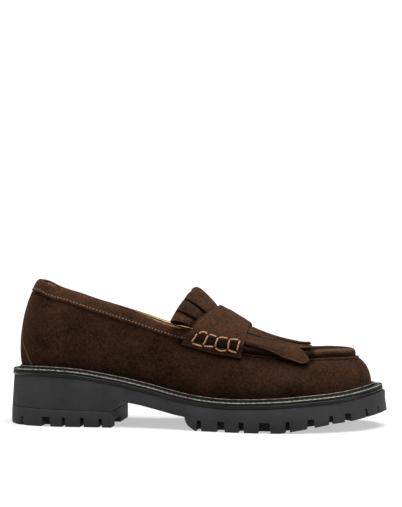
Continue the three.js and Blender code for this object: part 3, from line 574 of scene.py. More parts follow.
def suedeMaterial(name, dark, light, edge):
    material, tree, shader = newMaterial(name)
    brushed = rangeNode(tree, noiseNode(tree, 26, 4, 0.62, 1.2), 0.34, 0.68)
    mottled = rangeNode(tree, noiseNode(tree, 170, 5, 0.75, 0.8), 0.34, 0.68)
    nap = noiseNode(tree, 640, 6, 0.85, 0.5)
    speckle = rangeNode(tree, nap, 0.38, 0.64, -0.2, 0.6)
    blend = math2(tree, "ADD", math2(tree, "MULTIPLY", brushed, 0.42),
                  math2(tree, "MULTIPLY", mottled, 0.13))
    colour = mixColour(tree, math2(tree, "ADD", blend, speckle), dark, light)
    # the edge attribute paints pale cut edges, and also painted highlights on the apron's roll and
    # bead and on the crest of the outer fringe strip
    colour = mixColour(tree, attributeNode(tree, "edge"), colour, edge)
    shaded = tuple(0.25 * value for value in dark)
    colour = mixColour(tree, attributeNode(tree, "shade"), colour, shaded)
    tree.links.new(colour, shader.inputs["Base Color"])
    setInputs(shader, Roughness=0.95, Specular_IOR_Level=0.04, Sheen_Weight=0.05,
              Sheen_Roughness=0.4, Sheen_Tint=(0.75, 0.5, 0.34, 1))
    soft = bumpFrom(tree, shader, mottled, 0.0004, 0.5)
    bumpFrom(tree, shader, nap, 0.0007, 0.9, soft)
    return material


def leatherMaterial(name, dark, light, rough, grain=900, depth=0.00012, worn=None, gloss=0.45):
    material, tree, shader = newMaterial(name)
    patches = rangeNode(tree, noiseNode(tree, 40, 4, 0.6), 0.3, 0.7)
    colour = mixColour(tree, patches, dark, light)
    # pale lines along the marked edges: partly wear and partly a painted highlight of glossy edges
    if worn:
        broken = rangeNode(tree, noiseNode(tree, 330, 4, 0.7, 0.4), 0.4, 0.56)
        worn = mixColour(tree, broken, tuple(0.3 * value for value in worn), worn)
        colour = mixColour(tree, attributeNode(tree, "edge"), colour, worn)
    shaded = tuple(0.04 * value for value in dark)
    colour = mixColour(tree, attributeNode(tree, "shade"), colour, shaded)
    tree.links.new(colour, shader.inputs["Base Color"])
    pores = tree.nodes.new("ShaderNodeTexVoronoi")
    pores.inputs["Scale"].default_value = grain
    coords = tree.nodes.new("ShaderNodeTexCoord")
    tree.links.new(coords.outputs["Object"], pores.inputs["Vector"])
    tree.links.new(rangeNode(tree, noiseNode(tree, 120, 3), 0.2, 0.8, rough * 0.85, rough * 1.2),
                   shader.inputs["Roughness"])
    shader.inputs["Specular IOR Level"].default_value = gloss
    bumpFrom(tree, shader, pores.outputs["Distance"], depth, 0.6)
    return material


def rubberMaterial(name, dark, light, rough):
    material, tree, shader = newMaterial(name)
    clouds = rangeNode(tree, noiseNode(tree, 60, 5, 0.6), 0.3, 0.7)
    dust = rangeNode(tree, noiseNode(tree, 900, 3, 0.6), 0.45, 0.8, 0.0, 0.35)
    colour = mixColour(tree, math2(tree, "ADD", clouds, dust), dark, light)
    tree.links.new(colour, shader.inputs["Base Color"])
    tree.links.new(rangeNode(tree, noiseNode(tree, 170, 4), 0.2, 0.8, rough * 0.9, rough * 1.1),
                   shader.inputs["Roughness"])
    shader.inputs["Specular IOR Level"].default_value = 0.2
    bumpFrom(tree, shader, noiseNode(tree, 1400, 3), 0.00008, 0.5)
    return material


def threadMaterial(name, dark, light):
    material, tree, shader = newMaterial(name)
    strands = rangeNode(tree, noiseNode(tree, 1900, 2, 0.5, 0.4), 0.35, 0.65)
    tree.links.new(mixColour(tree, strands, dark, light), shader.inputs["Base Color"])
    setInputs(shader, Roughness=0.6, Sheen_Weight=0.3)
    bumpFrom(tree, shader, strands, 0.0002, 0.7)
    return material


quarterSuede = suedeMaterial("quarter_suede", (0.0052, 0.0019, 0.0008), (0.044, 0.0188, 0.0091),
                             (0.075, 0.037, 0.0215))
bindingSuede = suedeMaterial("binding_suede", (0.011, 0.004, 0.0018), (0.068, 0.031, 0.016),
                             (0.92, 0.6, 0.32))
# a lighter copy of the suede for the strap: a painted sheen on its top
strapSuedeLit = suedeMaterial("strap_suede", (0.0115, 0.0048, 0.0022), (0.057, 0.0272, 0.0145),
                           (0.075, 0.037, 0.0215))
# a lighter copy of the suede for the fringe and the loops: painted top light on their up-facing
# strips
kiltieSuedeLit = suedeMaterial("kiltie_suede", (0.0098, 0.0041, 0.002), (0.058, 0.028, 0.015),
                            (0.07, 0.037, 0.0215))
liningLeather = leatherMaterial("lining_leather", (0.72, 0.4, 0.17), (0.95, 0.62, 0.33), 0.5)
sockLeather = leatherMaterial("sock_leather", (0.33, 0.16, 0.065), (0.5, 0.26, 0.115), 0.55)
weltLeather = leatherMaterial("welt_leather", (0.0025, 0.0023, 0.0018),
                              (0.006, 0.0055, 0.0042), 0.5, 1500, 0.00005, (0.3, 0.28, 0.24), 0.12)
midsoleRubber = rubberMaterial("midsole_rubber", (0.0022, 0.0024, 0.0023),
                               (0.0062, 0.0066, 0.0064), 0.36)
soleRubber = rubberMaterial("sole_rubber", (0.0135, 0.0131, 0.0131), (0.0235, 0.0229, 0.0229), 0.7)
bindingThread = threadMaterial("binding_thread", (0.045, 0.028, 0.018), (0.13, 0.085, 0.058))
weltThread = threadMaterial("welt_thread", (0.03, 0.027, 0.014), (0.11, 0.1, 0.06))
ladderThread = threadMaterial("ladder_thread", (0.17, 0.06, 0.018), (0.5, 0.22, 0.088))
print("materials made")


# The upper: one wall with a rounded collar edge, a lining inside and a raised apron
upperPiece = {
    "tuck": 2.3, "sideSteps": 190, "toeSteps": 120, "heelSteps": 84, "underBand": 0.7,
    "innerDarkAt": 0.425, "innerTone": 0.92, "lowTone": 0.3, "closeTone": 0.8, "grooveTone": 0.8,
    "plugTone": 0.4, "rollTone": 0.85, "beadTone": 0.3,
}


# Where the painted shadow below the strap and the fringe starts, and how far it reaches
shadowRows = table(
    "at level reach",
    (0.462, 1.29, 0), (0.475, 1.29, 1.6), (0.55, 1.2, 2.4), (0.625, 1.18, 4), (0.64, 0.98, 12),
    (0.67, 0.95, 13), (0.69, 0.98, 13), (0.713, 1.04, 13), (0.734, 1.12, 12), (0.754, 1.17, 11),
    (0.776, 1.24, 9), (0.79, 1.24, 7), (0.803, 1.2, 3), (0.815, 1.15, 0),
)


def collarPlace(turn, down):
    place = np.ones_like(turn)
    for _ in range(5):
        point = bare(turn, place)
        place = levelAt(turn, collar(point[..., 0], point[..., 1]) - down)
    return place


def upperTurns():
    sideShare = np.linspace(0, 1, upperPiece["sideSteps"], endpoint=False)
    near = turnAt(np.arange(along(0.495), along(0.536), 0.3), -1)
    side = np.unique(np.round(np.r_[sideShare, near], 6))
    toe = 1 + np.linspace(0, 1, upperPiece["toeSteps"], endpoint=False)
    heel = 3 + np.linspace(0, 1, upperPiece["heelSteps"], endpoint=False)
    return np.r_[side, toe, 3 - side[side > 0][::-1], 3, heel[1:]], side


def edgeLevels(turn):
    x, peak = spokeAt(turn, "x", "height")
    (foot,) = spokeAt(turn, "foot")
    rear = (turn < 1) | (turn > 2)
    level = collarPlace(turn, upperPiece["underBand"])
    over = (collarLevel(x) - upperPiece["underBand"] >= peak + foot - 0.02) | (x > throat)
    return np.where(rear & ~over, level, 0.0)


# Painted shade on the suede, darker towards the welt, and a painted shadow where the strap and the
# fringe lie close over it
def outerShade(at, level, y, toCrown, toFoot):
    low = upperPiece["lowTone"] * (1 - smooth((2 - level) * toFoot / 9))
    past = np.where(level > 1, toFoot, toCrown)
    rows = [(row["at"], row["level"], row["reach"]) for row in shadowRows]
    ats, levels, reaches = (np.array(column) for column in zip(*rows))
    under = (level - np.interp(at, ats, levels)) * past
    reach = np.interp(at, ats, reaches)
    close = np.where((at > ats[0]) & (at < ats[-1]), 1 - smooth(under / np.maximum(reach, 0.1)), 0)
    return np.maximum(low, upperPiece["closeTone"] * close * (y < 8) * smooth(reach / 0.6))


def makeUpper():
    turns, _ = upperTurns()
    count = len(turns)
    edge = edgeLevels(turns)
    toCrown, toFoot = spokeAt(turns, "seamToCrown", "seamToFoot")
    outside = 1 + np.linspace(4.2, 0.2, 18)[:, None] / toFoot
    low = upperPiece["tuck"] + (outside[0] - upperPiece["tuck"]) * np.linspace(0, 0.96, 20)[:, None]
    nearSeam = np.vstack([outside, 1 - np.linspace(0, 4.4, 18)[:, None] / toCrown])
    top = nearSeam[-1] * (1 - np.linspace(0, 1, 17)[1:, None] ** 0.9)
    front = np.vstack([low, nearSeam, top])
    levels = edge + front * (upperPiece["tuck"] - edge) / upperPiece["tuck"]
    outer = surface(turns, levels)
    wall = last["wall"]
    innerLevels = edge + np.linspace(0, 1, 26)[:, None] * (upperPiece["tuck"] - edge)
    inner = bare(turns, innerLevels) - wall * outward(turns, innerLevels)
    rimOuter, rimInner = outer[-1], inner[0]
    along1 = unit(np.roll(rimOuter, -1, axis=0) - np.roll(rimOuter, 1, axis=0))
    up = unit(np.cross(outward(turns, edge), along1))
    middle, half = (rimOuter + rimInner) / 2, (rimOuter - rimInner) / 2
    angles = np.linspace(0, math.pi, 6)[1:-1]
    rim = np.stack([middle + half * math.cos(a) - up * math.sin(a) * wall / 2 for a in angles])
    rows = np.concatenate([outer, rim, inner])
    faces = gridFaces(len(rows), count, wrapColumns=True)
    column = faces[:, 0] % count
    row = faces[:, 0] // count
    openEdge = edge > 0
    rimRows = (row >= len(outer) - 1) & (row < len(outer) + len(rim))
    keep = ~rimRows | openEdge[column] | openEdge[(column + 1) % count]
    faces, row = faces[keep], row[keep]
    bottom = np.arange(count)
    lastRow = (len(rows) - 1) * count
    nextBottom = (bottom + 1) % count
    faces = np.vstack([
        faces, np.stack([nextBottom, bottom, lastRow + bottom, lastRow + nextBottom], -1)
    ])
    which = np.r_[(row >= len(outer) + len(rim) - 2).astype(int), np.zeros(count, int)]
    at = (rows[..., 0] - back) / length
    # painted shadow on the lining towards the front, where it lies under the kiltie
    shade = upperPiece["innerTone"] * smooth((at - upperPiece["innerDarkAt"]) / 0.03)
    shade[len(outer):len(outer) + len(rim)] = 0
    # painted shade in the apron's two grooves and on the middle of the plug
    inside = (1 - levels) * np.where(levels < 1, toCrown, toFoot)
    raised = smooth((at[:len(outer)] - 0.52) / 0.08)
    grooves = bump((inside - apron["grooveAt"]) / 0.7)
    grooves = raised * (grooves + bump((inside - apron["outerGrooveAt"]) / 0.6))
    shade[:len(outer)] = np.maximum(
        outerShade(at[:len(outer)], levels, outer[..., 1], toCrown, toFoot),
        np.maximum(upperPiece["grooveTone"] * grooves,
                   upperPiece["plugTone"] * raised * smooth((inside - 5.5) / 3)),
    )
    # painted highlight on the apron's roll and on its bead, carried in the edge attribute
    roll = np.zeros(rows.shape[:2])
    onRoll, onBead = bump((inside - 2.6) / 2.6), bump((inside - apron["beadAt"]) / 1.1)
    roll[:len(outer)] = raised * (upperPiece["rollTone"] * onRoll + upperPiece["beadTone"] * onBead)
    return meshObject("upper_shell", rows.reshape(-1, 3), faces, [quarterSuede, liningLeather],
                      which=which, tones={"shade": shade, "edge": roll})


upper = place(makeUpper(), "upper")
print("upper made", len(upper.data.polygons))


# The binding round the collar, folded over its edge, with a row of stitches
binding = {"width": 9.4, "thickness": 1.15, "fromEdge": 1.7}
bindingProfile = table(
    "down out",
    (0.97, 0.0), (1.02, 0.75), (0.985, 1.3), (0.9, 1.5), (0.8, 1.22), (0.6, 1.4), (0.35, 1.4),
    (0.15, 1.15), (0.03, 0.65), (-0.05, -0.1), (-0.075, -0.9), (-0.065, -1.6), (-0.035, -2.15),
    (-0.005, -2.35), (0.02, -2.25), (0.025, -2.0), (0.03, -1.5), (0.06, -0.4),
)
bindingWidth = lineThrough(
    table("at width", (0.06, 1), (0.3, 0.97), (0.42, 0.78), (0.5, 0.76)),
    lambda row: row["width"] * binding["width"],
)
strapRows = table(
    "side rear hinge front",
    (0, 0.556, 0.556, 0.636), (0.2, 0.554, 0.5525, 0.636), (0.45, 0.544, 0.5365, 0.636),
    (0.7, 0.5245, 0.5135, 0.635), (0.9, 0.505, 0.495, 0.634), (1.05, 0.4915, 0.483, 0.632),
    (1.2, 0.481, 0.4735, 0.63),
)


def edgeAt(rows, side, key):
    sides = [row["side"] for row in rows]
    values = [row[key] for row in rows]
    s = np.clip(np.abs(side), sides[0], None)
    beyond = (values[-1] - values[-2]) / (sides[-1] - sides[-2]) * np.maximum(s - sides[-1], 0)
    return np.interp(s, sides, values) + beyond


def bindingEnd(side, share):
    x = along(0.5)
    for _ in range(8):
        turn = turnAt(x, side)
        level = levelAt(turn, collar(x, side) - share * bindingWidth(x))
        x = along(edgeAt(strapRows, level, "rear")) - 0.15
    return float(turnAt(x, side))


def bindingTurns(way, share):
    outerSide = bindingEnd(-1, share) * (1 - way)
    innerSide = 3 - (3 - bindingEnd(1, share)) * (way - 2)
    return np.where(way < 1, outerSide, np.where(way > 2, innerSide, 1 - way))


def bindingPoint(way, share, out):
    turn = bindingTurns(way, min(max(share, 0), 1))
    place = np.ones_like(turn)
    for _ in range(5):
        point = bare(turn, place)
        x = point[..., 0]
        place = levelAt(turn, collar(x, point[..., 1]) - share * bindingWidth(x))
    return surface(turn, place, out)


def makeBinding():
    way = np.r_[np.linspace(0, 1, 150, endpoint=False), np.linspace(1, 2, 70, endpoint=False),
                np.linspace(2, 3, 151)]
    rings = np.stack([bindingPoint(way, row["down"], row["out"]) for row in bindingProfile], 1)
    faces = [tuple(f) for f in gridFaces(len(way), len(bindingProfile), wrapColumns=True)]
    columns = len(bindingProfile)
    faces.append(tuple(range(columns))[::-1])
    faces.append(tuple(range((len(way) - 1) * columns, len(way) * columns)))
    # towards the strap its inner side shows the lining
    turned = np.array([smooth((-1.65 - row["out"]) / 0.45) for row in bindingProfile])
    turned = turned * smooth(((rings[..., 0] - back) / length - 0.3) / 0.12)
    return meshObject("collar_binding", rings.reshape(-1, 3), faces, [bindingSuede],
                      tones={"edge": turned})


place(makeBinding(), "collar_band")
print("binding made")


# Stitches that follow a path, made with Geometry Nodes
def pathObject(name, points, closed=False):
    curve = bpy.data.curves.new(name, "CURVE")
    curve.dimensions = "3D"
    spline = curve.splines.new("POLY")
    spline.points.add(len(points) - 1)
    for spot, point in zip(spline.points, toFrame(points)):
        spot.co = (*point, 1)
    spline.use_cyclic_u = closed
    return linked(name, curve)


def stitchTree(name, material):
    tree = bpy.data.node_groups.new(name, "GeometryNodeTree")
    face = tree.interface
    face.new_socket("Path", in_out="INPUT", socket_type="NodeSocketGeometry")
    sizes = {}
    for label, value in (("Pitch", 0.0033), ("Stitch length", 0.0022), ("Thread radius", 0.00028)):
        sizes[label] = face.new_socket(label, in_out="INPUT", socket_type="NodeSocketFloat")
        sizes[label].default_value = value
    face.new_socket("Stitches", in_out="OUTPUT", socket_type="NodeSocketGeometry")
    node = tree.nodes.new
    start, end = node("NodeGroupInput"), node("NodeGroupOutput")
    spots = node("GeometryNodeCurveToPoints")
    spots.mode = "LENGTH"
    capsule = node("GeometryNodeMeshUVSphere")
    setInputs(capsule, Segments=8, Rings=6, Radius=1.0)
    scale = node("ShaderNodeCombineXYZ")
    half = node("ShaderNodeMath")
    half.operation = "MULTIPLY"
    half.inputs[1].default_value = 0.5
    put = node("GeometryNodeInstanceOnPoints")
    solid = node("GeometryNodeRealizeInstances")
    shade = node("GeometryNodeSetShadeSmooth")
    finish = node("GeometryNodeSetMaterial")
    finish.inputs["Material"].default_value = material
    for source, leaving, target, entry in (
        (start, "Path", spots, "Curve"), (start, "Pitch", spots, "Length"),
        (start, "Stitch length", half, 0), (start, "Thread radius", scale, "X"),
        (start, "Thread radius", scale, "Y"), (half, 0, scale, "Z"),
        (spots, "Points", put, "Points"), (spots, "Rotation", put, "Rotation"),
        (capsule, "Mesh", put, "Instance"), (scale, 0, put, "Scale"),
        (put, "Instances", solid, "Geometry"), (solid, "Geometry", shade, "Geometry"),
        (shade, "Geometry", finish, "Geometry"), (finish, "Geometry", end, "Stitches"),
    ):
        tree.links.new(source.outputs[leaving], target.inputs[entry])
    return tree, {label: socket.identifier for label, socket in sizes.items()}


def stitchRow(name, points, tree, identifiers, **sizes):
    path = pathObject(name + "_path", points)
    modifier = path.modifiers.new("stitches", "NODES")
    modifier.node_group = tree
    for label, value in sizes.items():
        modifier[identifiers[label.replace("_", " ")]] = value
    mesh = evaluatedMesh(path)
    bpy.data.objects.remove(path)
    return linked(name, mesh)


bindingTree, bindingSockets = stitchTree("binding_stitches", bindingThread)
stitchWay = np.linspace(0.004, 2.996, 500)
stitchShare = 1 - binding["fromEdge"] / binding["width"]
stitchPath = bindingPoint(stitchWay, stitchShare, binding["thickness"] + 0.12)
bindingRow = stitchRow("binding_stitch_row", stitchPath, bindingTree, bindingSockets,
                       Pitch=0.0026, Stitch_length=0.0014, Thread_radius=0.00038)
place(bindingRow, slot="collar_band")
print("binding stitches made", len(bindingRow.data.polygons))


# The strip down the back seam, flared at its foot
heelStrip = {"thickness": 0.8, "top": 98.0, "sunk": 0.3, "round": 0.9, "shade": 0.08}
heelStripRows = table(
    "up half",
    (0.3, 0.44), (0.42, 0.37), (0.51, 0.285), (0.57, 0.2), (0.68, 0.11), (0.95, 0.062),
)


def makeHeelStrip():
    z = np.linspace(heelStrip["top"], ribTop(back) + 0.4, 60)
    ups = [row["up"] * last["backHeight"] for row in heelStripRows]
    half = np.interp(z, ups, [row["half"] * sole["heelWidth"] for row in heelStripRows])
    reach = spokeAt(3.5, "reach")[0]
    share = np.sin(np.linspace(-0.5, 0.5, 61) * math.pi)
    turn = 3.5 + (half / (reach * math.pi))[:, None] * share
    level = levelAt(turn, z[:, None] * np.ones_like(turn))
    border = np.minimum((1 - np.abs(share)) * half[:, None], 3)
    edge = heelStrip["round"]
    thick = heelStrip["thickness"] * np.sqrt(np.clip(1 - (1 - border / edge) ** 2, 0, 1)) ** 0.7
    thick = np.where(border < edge, thick, heelStrip["thickness"])
    under = surface(turn, level, -heelStrip["sunk"])
    points, faces = sheetParts([(surface(turn, level, thick), under)])
    cut = (0.85 * (1 - smooth((border - 0.3) / 0.6))).ravel()
    tones = {"edge": np.r_[cut, cut], "shade": np.full(2 * cut.size, heelStrip["shade"])}
    return meshObject("back_strip", points, faces, [quarterSuede], tones=tones)


place(makeHeelStrip(), "heel_strip")


# The saddle strap
strap = {
    "thickness": 2.0, "rear": 1.27, "front": 1.18, "sag": 0.05, "rest": 0.25, "onKiltie": 2.05,
    "kiltieSide": 0.86, "swell": 0.35, "ripple": 0.12, "edgeDown": 0.35, "edgeReach": 1.6,
    "edgeRound": 0.55, "edgeTone": 0.55, "cellTone": 0.66, "lowTone": 0.3, "underTone": 0.5,
}


def strapLift(level):
    over = 1 - smooth((level - strap["kiltieSide"] - 0.12) / 0.2)
    return strap["rest"] + over * strap["onKiltie"]


def onStrap(at, side, out):
    level = np.abs(side)
    turn = turnAt(along(np.asarray(at)), side)
    return surface(turn, level, strapLift(level) + strap["thickness"] + out)


# The ladder of hand stitches on each side of the strap, outer side first: a row has the stitch's
# two ends and how far its middle bends away from the line between them.
ladderRows = table(
    "fromAt fromSide toAt toSide bendAt bendSide",
    (0.519, 0.943, 0.5062, 1.103, 0, 0), (0.547, 0.909, 0.5363, 1.056, 0, 0),
    (0.5716, 0.912, 0.5651, 1.033, 0, 0), (0.5989, 0.919, 0.5977, 1.032, 0, 0),
    (0.6233, 0.9, 0.62, 1.039, 0, 0),
    (0.5251, 0.918, 0.5441, 0.881, 0, -0.022), (0.5507, 0.884, 0.5664, 0.893, 0, -0.006),
    (0.5739, 0.897, 0.5933, 0.891, 0, -0.006), (0.5999, 0.898, 0.6186, 0.879, 0, 0),
    (0.5076, 1.14, 0.5315, 1.115, 0, 0.003), (0.5375, 1.088, 0.5605, 1.045, 0, 0),
    (0.5677, 1.061, 0.5934, 1.071, 0, 0.03), (0.5991, 1.065, 0.6185, 1.087, 0, 0.008),
)
ladder = {"radius": 0.52, "cellDepth": 0.7, "reach": 0.05, "height": 0.42, "dive": 1.25,
          "spots": 17, "sides": 10}
ladderTop = ((0.519, 0.93), (0.5328, 0.9), (0.5475, 0.9), (0.571, 0.905), (0.599, 0.905),
             (0.6233, 0.895))
ladderLow = ((0.5062, 1.11), (0.5363, 1.075), (0.5651, 1.045), (0.5815, 1.08), (0.5977, 1.055),
             (0.62, 1.075))
rungs = [[row[key] for key in ("fromAt", "fromSide", "toAt", "toSide")] for row in ladderRows[:5]]


# 1 inside the four cells of the ladder, 0 outside them
def ladderCells(at, level):
    top, low = (np.interp(at, *zip(*line)) for line in (ladderTop, ladderLow))
    inRow = smooth((level - top - 0.008) / 0.02) * smooth((low - level - 0.006) / 0.02)
    between = np.zeros_like(inRow)
    for a, b in zip(rungs[:-1], rungs[1:]):
        left = np.interp(level, [a[1], a[3]], [a[0], a[2]])
        right = np.interp(level, [b[1], b[3]], [b[0], b[2]])
        cell = smooth((at - left - 0.001) / 0.002) * smooth((right - 0.001 - at) / 0.002)
        between = np.maximum(between, cell)
    return inRow * between


def makeStrap():
    share = np.linspace(-1, 1, 330)[:, None]
    t = np.linspace(0, 1, 74)[None, :]
    end = strap["rear"] + (strap["front"] - strap["rear"]) * t - strap["sag"] * np.sin(math.pi * t)
    side = share * end
    at = edgeAt(strapRows, side, "rear") * (1 - t) + edgeAt(strapRows, side, "front") * t
    cells = ladderCells(at, np.abs(side))
    swell = strap["swell"] * np.sin(np.pi * t) ** 2
    swell = swell - strap["ripple"] * np.sin(at * 190 + 6 * side)
    # the edges of the strap turn down a little
    border = np.minimum(np.minimum(t, 1 - t) * 30, (1 - np.abs(share)) * 70)
    down = strap["edgeDown"] * (1 - smooth(border / strap["edgeReach"]))
    top = onStrap(at, side, swell - down - ladder["cellDepth"] * cells)
    under = onStrap(at, side, -strap["thickness"])
    points, faces = sheetParts([(top, under)])
    cut = strap["edgeTone"] * (1 - smooth(border / 0.7))
    # painted shade in the ladder's cells, on the strap's lower band and on its underside
    lower = strap["lowTone"] * smooth((np.abs(side) - strap["kiltieSide"]) / 0.14)
    shade = np.maximum(strap["cellTone"] * cells, lower).ravel()
    tones = {"shade": np.r_[shade, np.full(cells.size, strap["underTone"])],
             "edge": np.r_[cut.ravel(), cut.ravel()]}
    piece = meshObject("saddle_strap", points, faces, [strapSuedeLit], tones=tones)
    return roundEdges(piece, strap["edgeRound"], 3)


place(makeStrap(), "strap")


def tube(points, radius, sides):
    ways = unit(np.gradient(points, axis=0))
    across = unit(np.cross(ways, np.array([0.3, 0.2, 0.93])))
    over = np.cross(ways, across)
    angles = np.arange(sides) / sides * 2 * math.pi
    ring = across[:, None] * np.cos(angles)[:, None] + over[:, None] * np.sin(angles)[:, None]
    rows = points[:, None] + ring * np.asarray(radius).reshape(-1, 1, 1)
    faces = gridFaces(len(points), sides, wrapColumns=True)
    return rows.reshape(-1, 3), faces


def makeLadder():
    points, faces, ends, start = [], [], [], 0
    count, sides = ladder["spots"], ladder["sides"]
    u = np.linspace(-ladder["reach"], 1 + ladder["reach"], count)
    for hand in (-1, 1):
        for row in ladderRows:
            arch = 4 * u * (1 - u)
            at = row["fromAt"] + (row["toAt"] - row["fromAt"]) * u + row["bendAt"] * arch
            side = row["fromSide"] + (row["toSide"] - row["fromSide"]) * u + row["bendSide"] * arch
            near = np.minimum(u, 1 - u) + ladder["reach"]
            dive = ladder["dive"] * (1 - smooth(near / 0.1))
            spots = onStrap(at, hand * side, ladder["height"] - dive)
            thick = ladder["radius"] * (0.72 + 0.28 * smooth(near / 0.15))
            more, walls = tube(spots, thick, sides)
            points.append(more)
            faces.append(walls + start)
            cap = start + np.arange(sides)
            ends += [tuple(cap[::-1]), tuple(cap + (count - 1) * sides)]
            start += len(more)
    faces = [tuple(f) for f in np.vstack(faces)] + ends
    return meshObject("ladder_stitches", np.vstack(points), faces, [ladderThread])


place(makeLadder(), slot="strap")
print("strap made")


# The kiltie: a sheet under the strap, a fringe in front of it and folded loops behind it
kiltie = {
    "thickness": 1.3, "rest": 0.35, "loopReach": 24.0, "loopOpening": 5.8, "perSide": 33.0,
    "curl": 0.45, "curlReach": 1.5, "edgeTone": 0.8, "slitTone": 0.85, "underTone": 0.6,
    "rollAt": 3.3, "slit": 0.008, "slitMore": 0.016, "shut": 0.15, "shutSide": 0.4, "clear": 1.5,
    "archSide": 0.72, "arch": 3.4, "endSide": 0.872, "returns": 7, "edgeRound": 0.35,
}
foldRows = table(
    "side back rise inward",
    (0, 0.84, 0.5, 0), (0.3, 0.78, 0.38, 0.03), (0.6, 0.66, 0.24, 0.06), (0.86, 0.57, 0.1, 0.06),
)
loopRows = table(
    "out up",
    (-0.05, 0), (0.02, 0), (0.12, 0.22), (0.33, 0.52), (0.58, 0.78), (0.8, 0.94), (0.93, 0.86),
    (1, 0.55), (0.98, 0.22), (0.88, 0.03), (0.68, -0.03), (0.4, 0.02), (0.15, 0.03), (0.02, 0),
    (-0.05, 0),
)
loopSides = (-0.88, -0.715, -0.495, -0.25, 0, 0.25, 0.495, 0.715, 0.88)

# Each strip of the fringe from its root under the strap to its tip, with the place of its lower
# and its upper edge and how far it stands off what is under it.
fringeColumns = "lowAt lowSide highAt highSide lift"
fringeTables = (
    table(fringeColumns,
          (0.626, -0.86, 0.626, -0.51, 0.2), (0.6496, -0.9, 0.651, -0.515, 0.3),
          (0.6696, -0.925, 0.67, -0.52, 0.5), (0.6909, -0.955, 0.69, -0.525, 0.8),
          (0.713, -1.025, 0.714, -0.55, 1.1), (0.7346, -1.11, 0.738, -0.62, 1.4),
          (0.7541, -1.165, 0.76, -0.775, 1.7), (0.768, -1.21, 0.775, -0.91, 1.9),
          (0.779, -1.245, 0.789, -1.04, 2.0), (0.7855, -1.25, 0.797, -1.12, 2.0),
          (0.792, -1.235, 0.8, -1.19, 2.0)),
    table(fringeColumns,
          (0.626, -0.47, 0.626, -0.17, 0.1), (0.651, -0.475, 0.651, -0.17, 0.1),
          (0.689, -0.485, 0.689, -0.2, 0.2), (0.725, -0.52, 0.725, -0.24, 0.35),
          (0.753, -0.66, 0.758, -0.27, 0.5), (0.77, -0.78, 0.78, -0.28, 0.6),
          (0.79, -0.83, 0.793, -0.29, 0.7), (0.803, -0.84, 0.805, -0.3, 0.8)),
    table(fringeColumns,
          (0.626, -0.16, 0.626, 0.15, 0.1), (0.66, -0.165, 0.66, 0.15, 0.15),
          (0.72, -0.22, 0.72, 0.16, 0.5), (0.77, -0.26, 0.77, 0.17, 1.1),
          (0.792, -0.26, 0.79, 0.17, 1.7), (0.803, -0.25, 0.8, 0.17, 2.1)),
    table(fringeColumns,
          (0.626, 0.16, 0.626, 0.47, 0.1), (0.651, 0.165, 0.651, 0.475, 0.1),
          (0.689, 0.18, 0.689, 0.54, 0.2), (0.725, 0.2, 0.725, 0.58, 0.4),
          (0.763, 0.22, 0.763, 0.67, 0.6), (0.795, 0.24, 0.785, 0.74, 0.7)),
    table(fringeColumns,
          (0.626, 0.49, 0.626, 0.88, 0.2), (0.651, 0.49, 0.6496, 0.882, 0.3),
          (0.69, 0.56, 0.69, 0.9, 0.6), (0.738, 0.61, 0.7346, 0.97, 1.0),
          (0.767, 0.7, 0.756, 1.05, 1.3), (0.786, 0.8, 0.771, 1.1, 1.5),
          (0.7935, 0.88, 0.781, 1.09, 1.5), (0.7945, 0.95, 0.787, 1.05, 1.5)),
)


def throughPoints(values, u):
    values = np.asarray(values, float)
    p = np.r_[2 * values[0] - values[1], values, 2 * values[-1] - values[-2]]
    i = np.clip(u.astype(int), 0, len(values) - 2)
    f = u - i
    a, b, c, d = p[i], p[i + 1], p[i + 2], p[i + 3]
    return b + 0.5 * f * (c - a + f * (2 * a - 5 * b + 4 * c - d + f * (3 * (b - c) + d - a)))


def kiltieWeb():
    side = np.linspace(-strap["kiltieSide"], strap["kiltieSide"], 90)[:, None] * np.ones(24)
    rear, far = edgeAt(strapRows, side, "hinge"), edgeAt(strapRows, side, "front")
    turn = turnAt(along(rear + (far - rear) * np.linspace(-0.02, 0.98, 24)), side)
    level = np.abs(side)
    top = surface(turn, level, kiltie["rest"] + kiltie["thickness"])
    plain = np.zeros(level.shape)
    return top, surface(turn, level, kiltie["rest"]), (plain, plain), plain


def fringeStrip(rows, number):
    u = np.linspace(0, len(rows) - 1, 72)
    share = np.linspace(0, 1, 22)[None, :]
    lowAt, lowSide, highAt, highSide, lift = (
        throughPoints([row[key] for row in rows], u)[:, None]
        for key in ("lowAt", "lowSide", "highAt", "highSide", "lift")
    )
    at, side = lowAt + (highAt - lowAt) * share, lowSide + (highSide - lowSide) * share
    t = (u / u[-1])[:, None]
    wave = 0.3 * np.sin(6.5 * t + 2.1 * number) * t + 0.25 * t * np.sin(3 * share + number)
    wide = np.abs(highSide - lowSide) * kiltie["perSide"]
    border = np.minimum(np.minimum(share, 1 - share) * wide, (1 - t) * 40)
    curl = -kiltie["curl"] * (1 - smooth(border / kiltie["curlReach"]))
    outer = np.where(number == 0, share, 1 - share) if number in (0, len(fringeTables) - 1) else 1
    cut = kiltie["edgeTone"] * (1 - smooth(np.minimum(outer * wide, (1 - t) * 40) / 0.9))
    # painted shade along the slits between the strips and on their undersides
    slit = kiltie["slitTone"] * (1 - smooth(border / 0.5)) * (cut < 0.05)
    # near the strap the outermost strip rolls over; this is painted, a painted highlight along its
    # crest and painted shade below it
    if number == 0:
        rolled = 1 - smooth((t - 0.12) / 0.22)
        down = share * wide
        slit = np.maximum(slit, 0.6 * rolled * (1 - smooth((down - 1.4) / 1.6)))
        crestHighlight = 0.5 * rolled * np.exp(-(((down - kiltie["rollAt"]) / 0.55) ** 2))
        cut = np.maximum(cut * (1 - rolled), crestHighlight)
    turn, level = turnAt(along(at), side), np.abs(side)
    height = kiltie["rest"] + lift + wave
    top = draped(turn, level, height + kiltie["thickness"] + curl)
    return top, draped(turn, level, height), (slit, kiltie["underTone"] + 0 * slit), cut


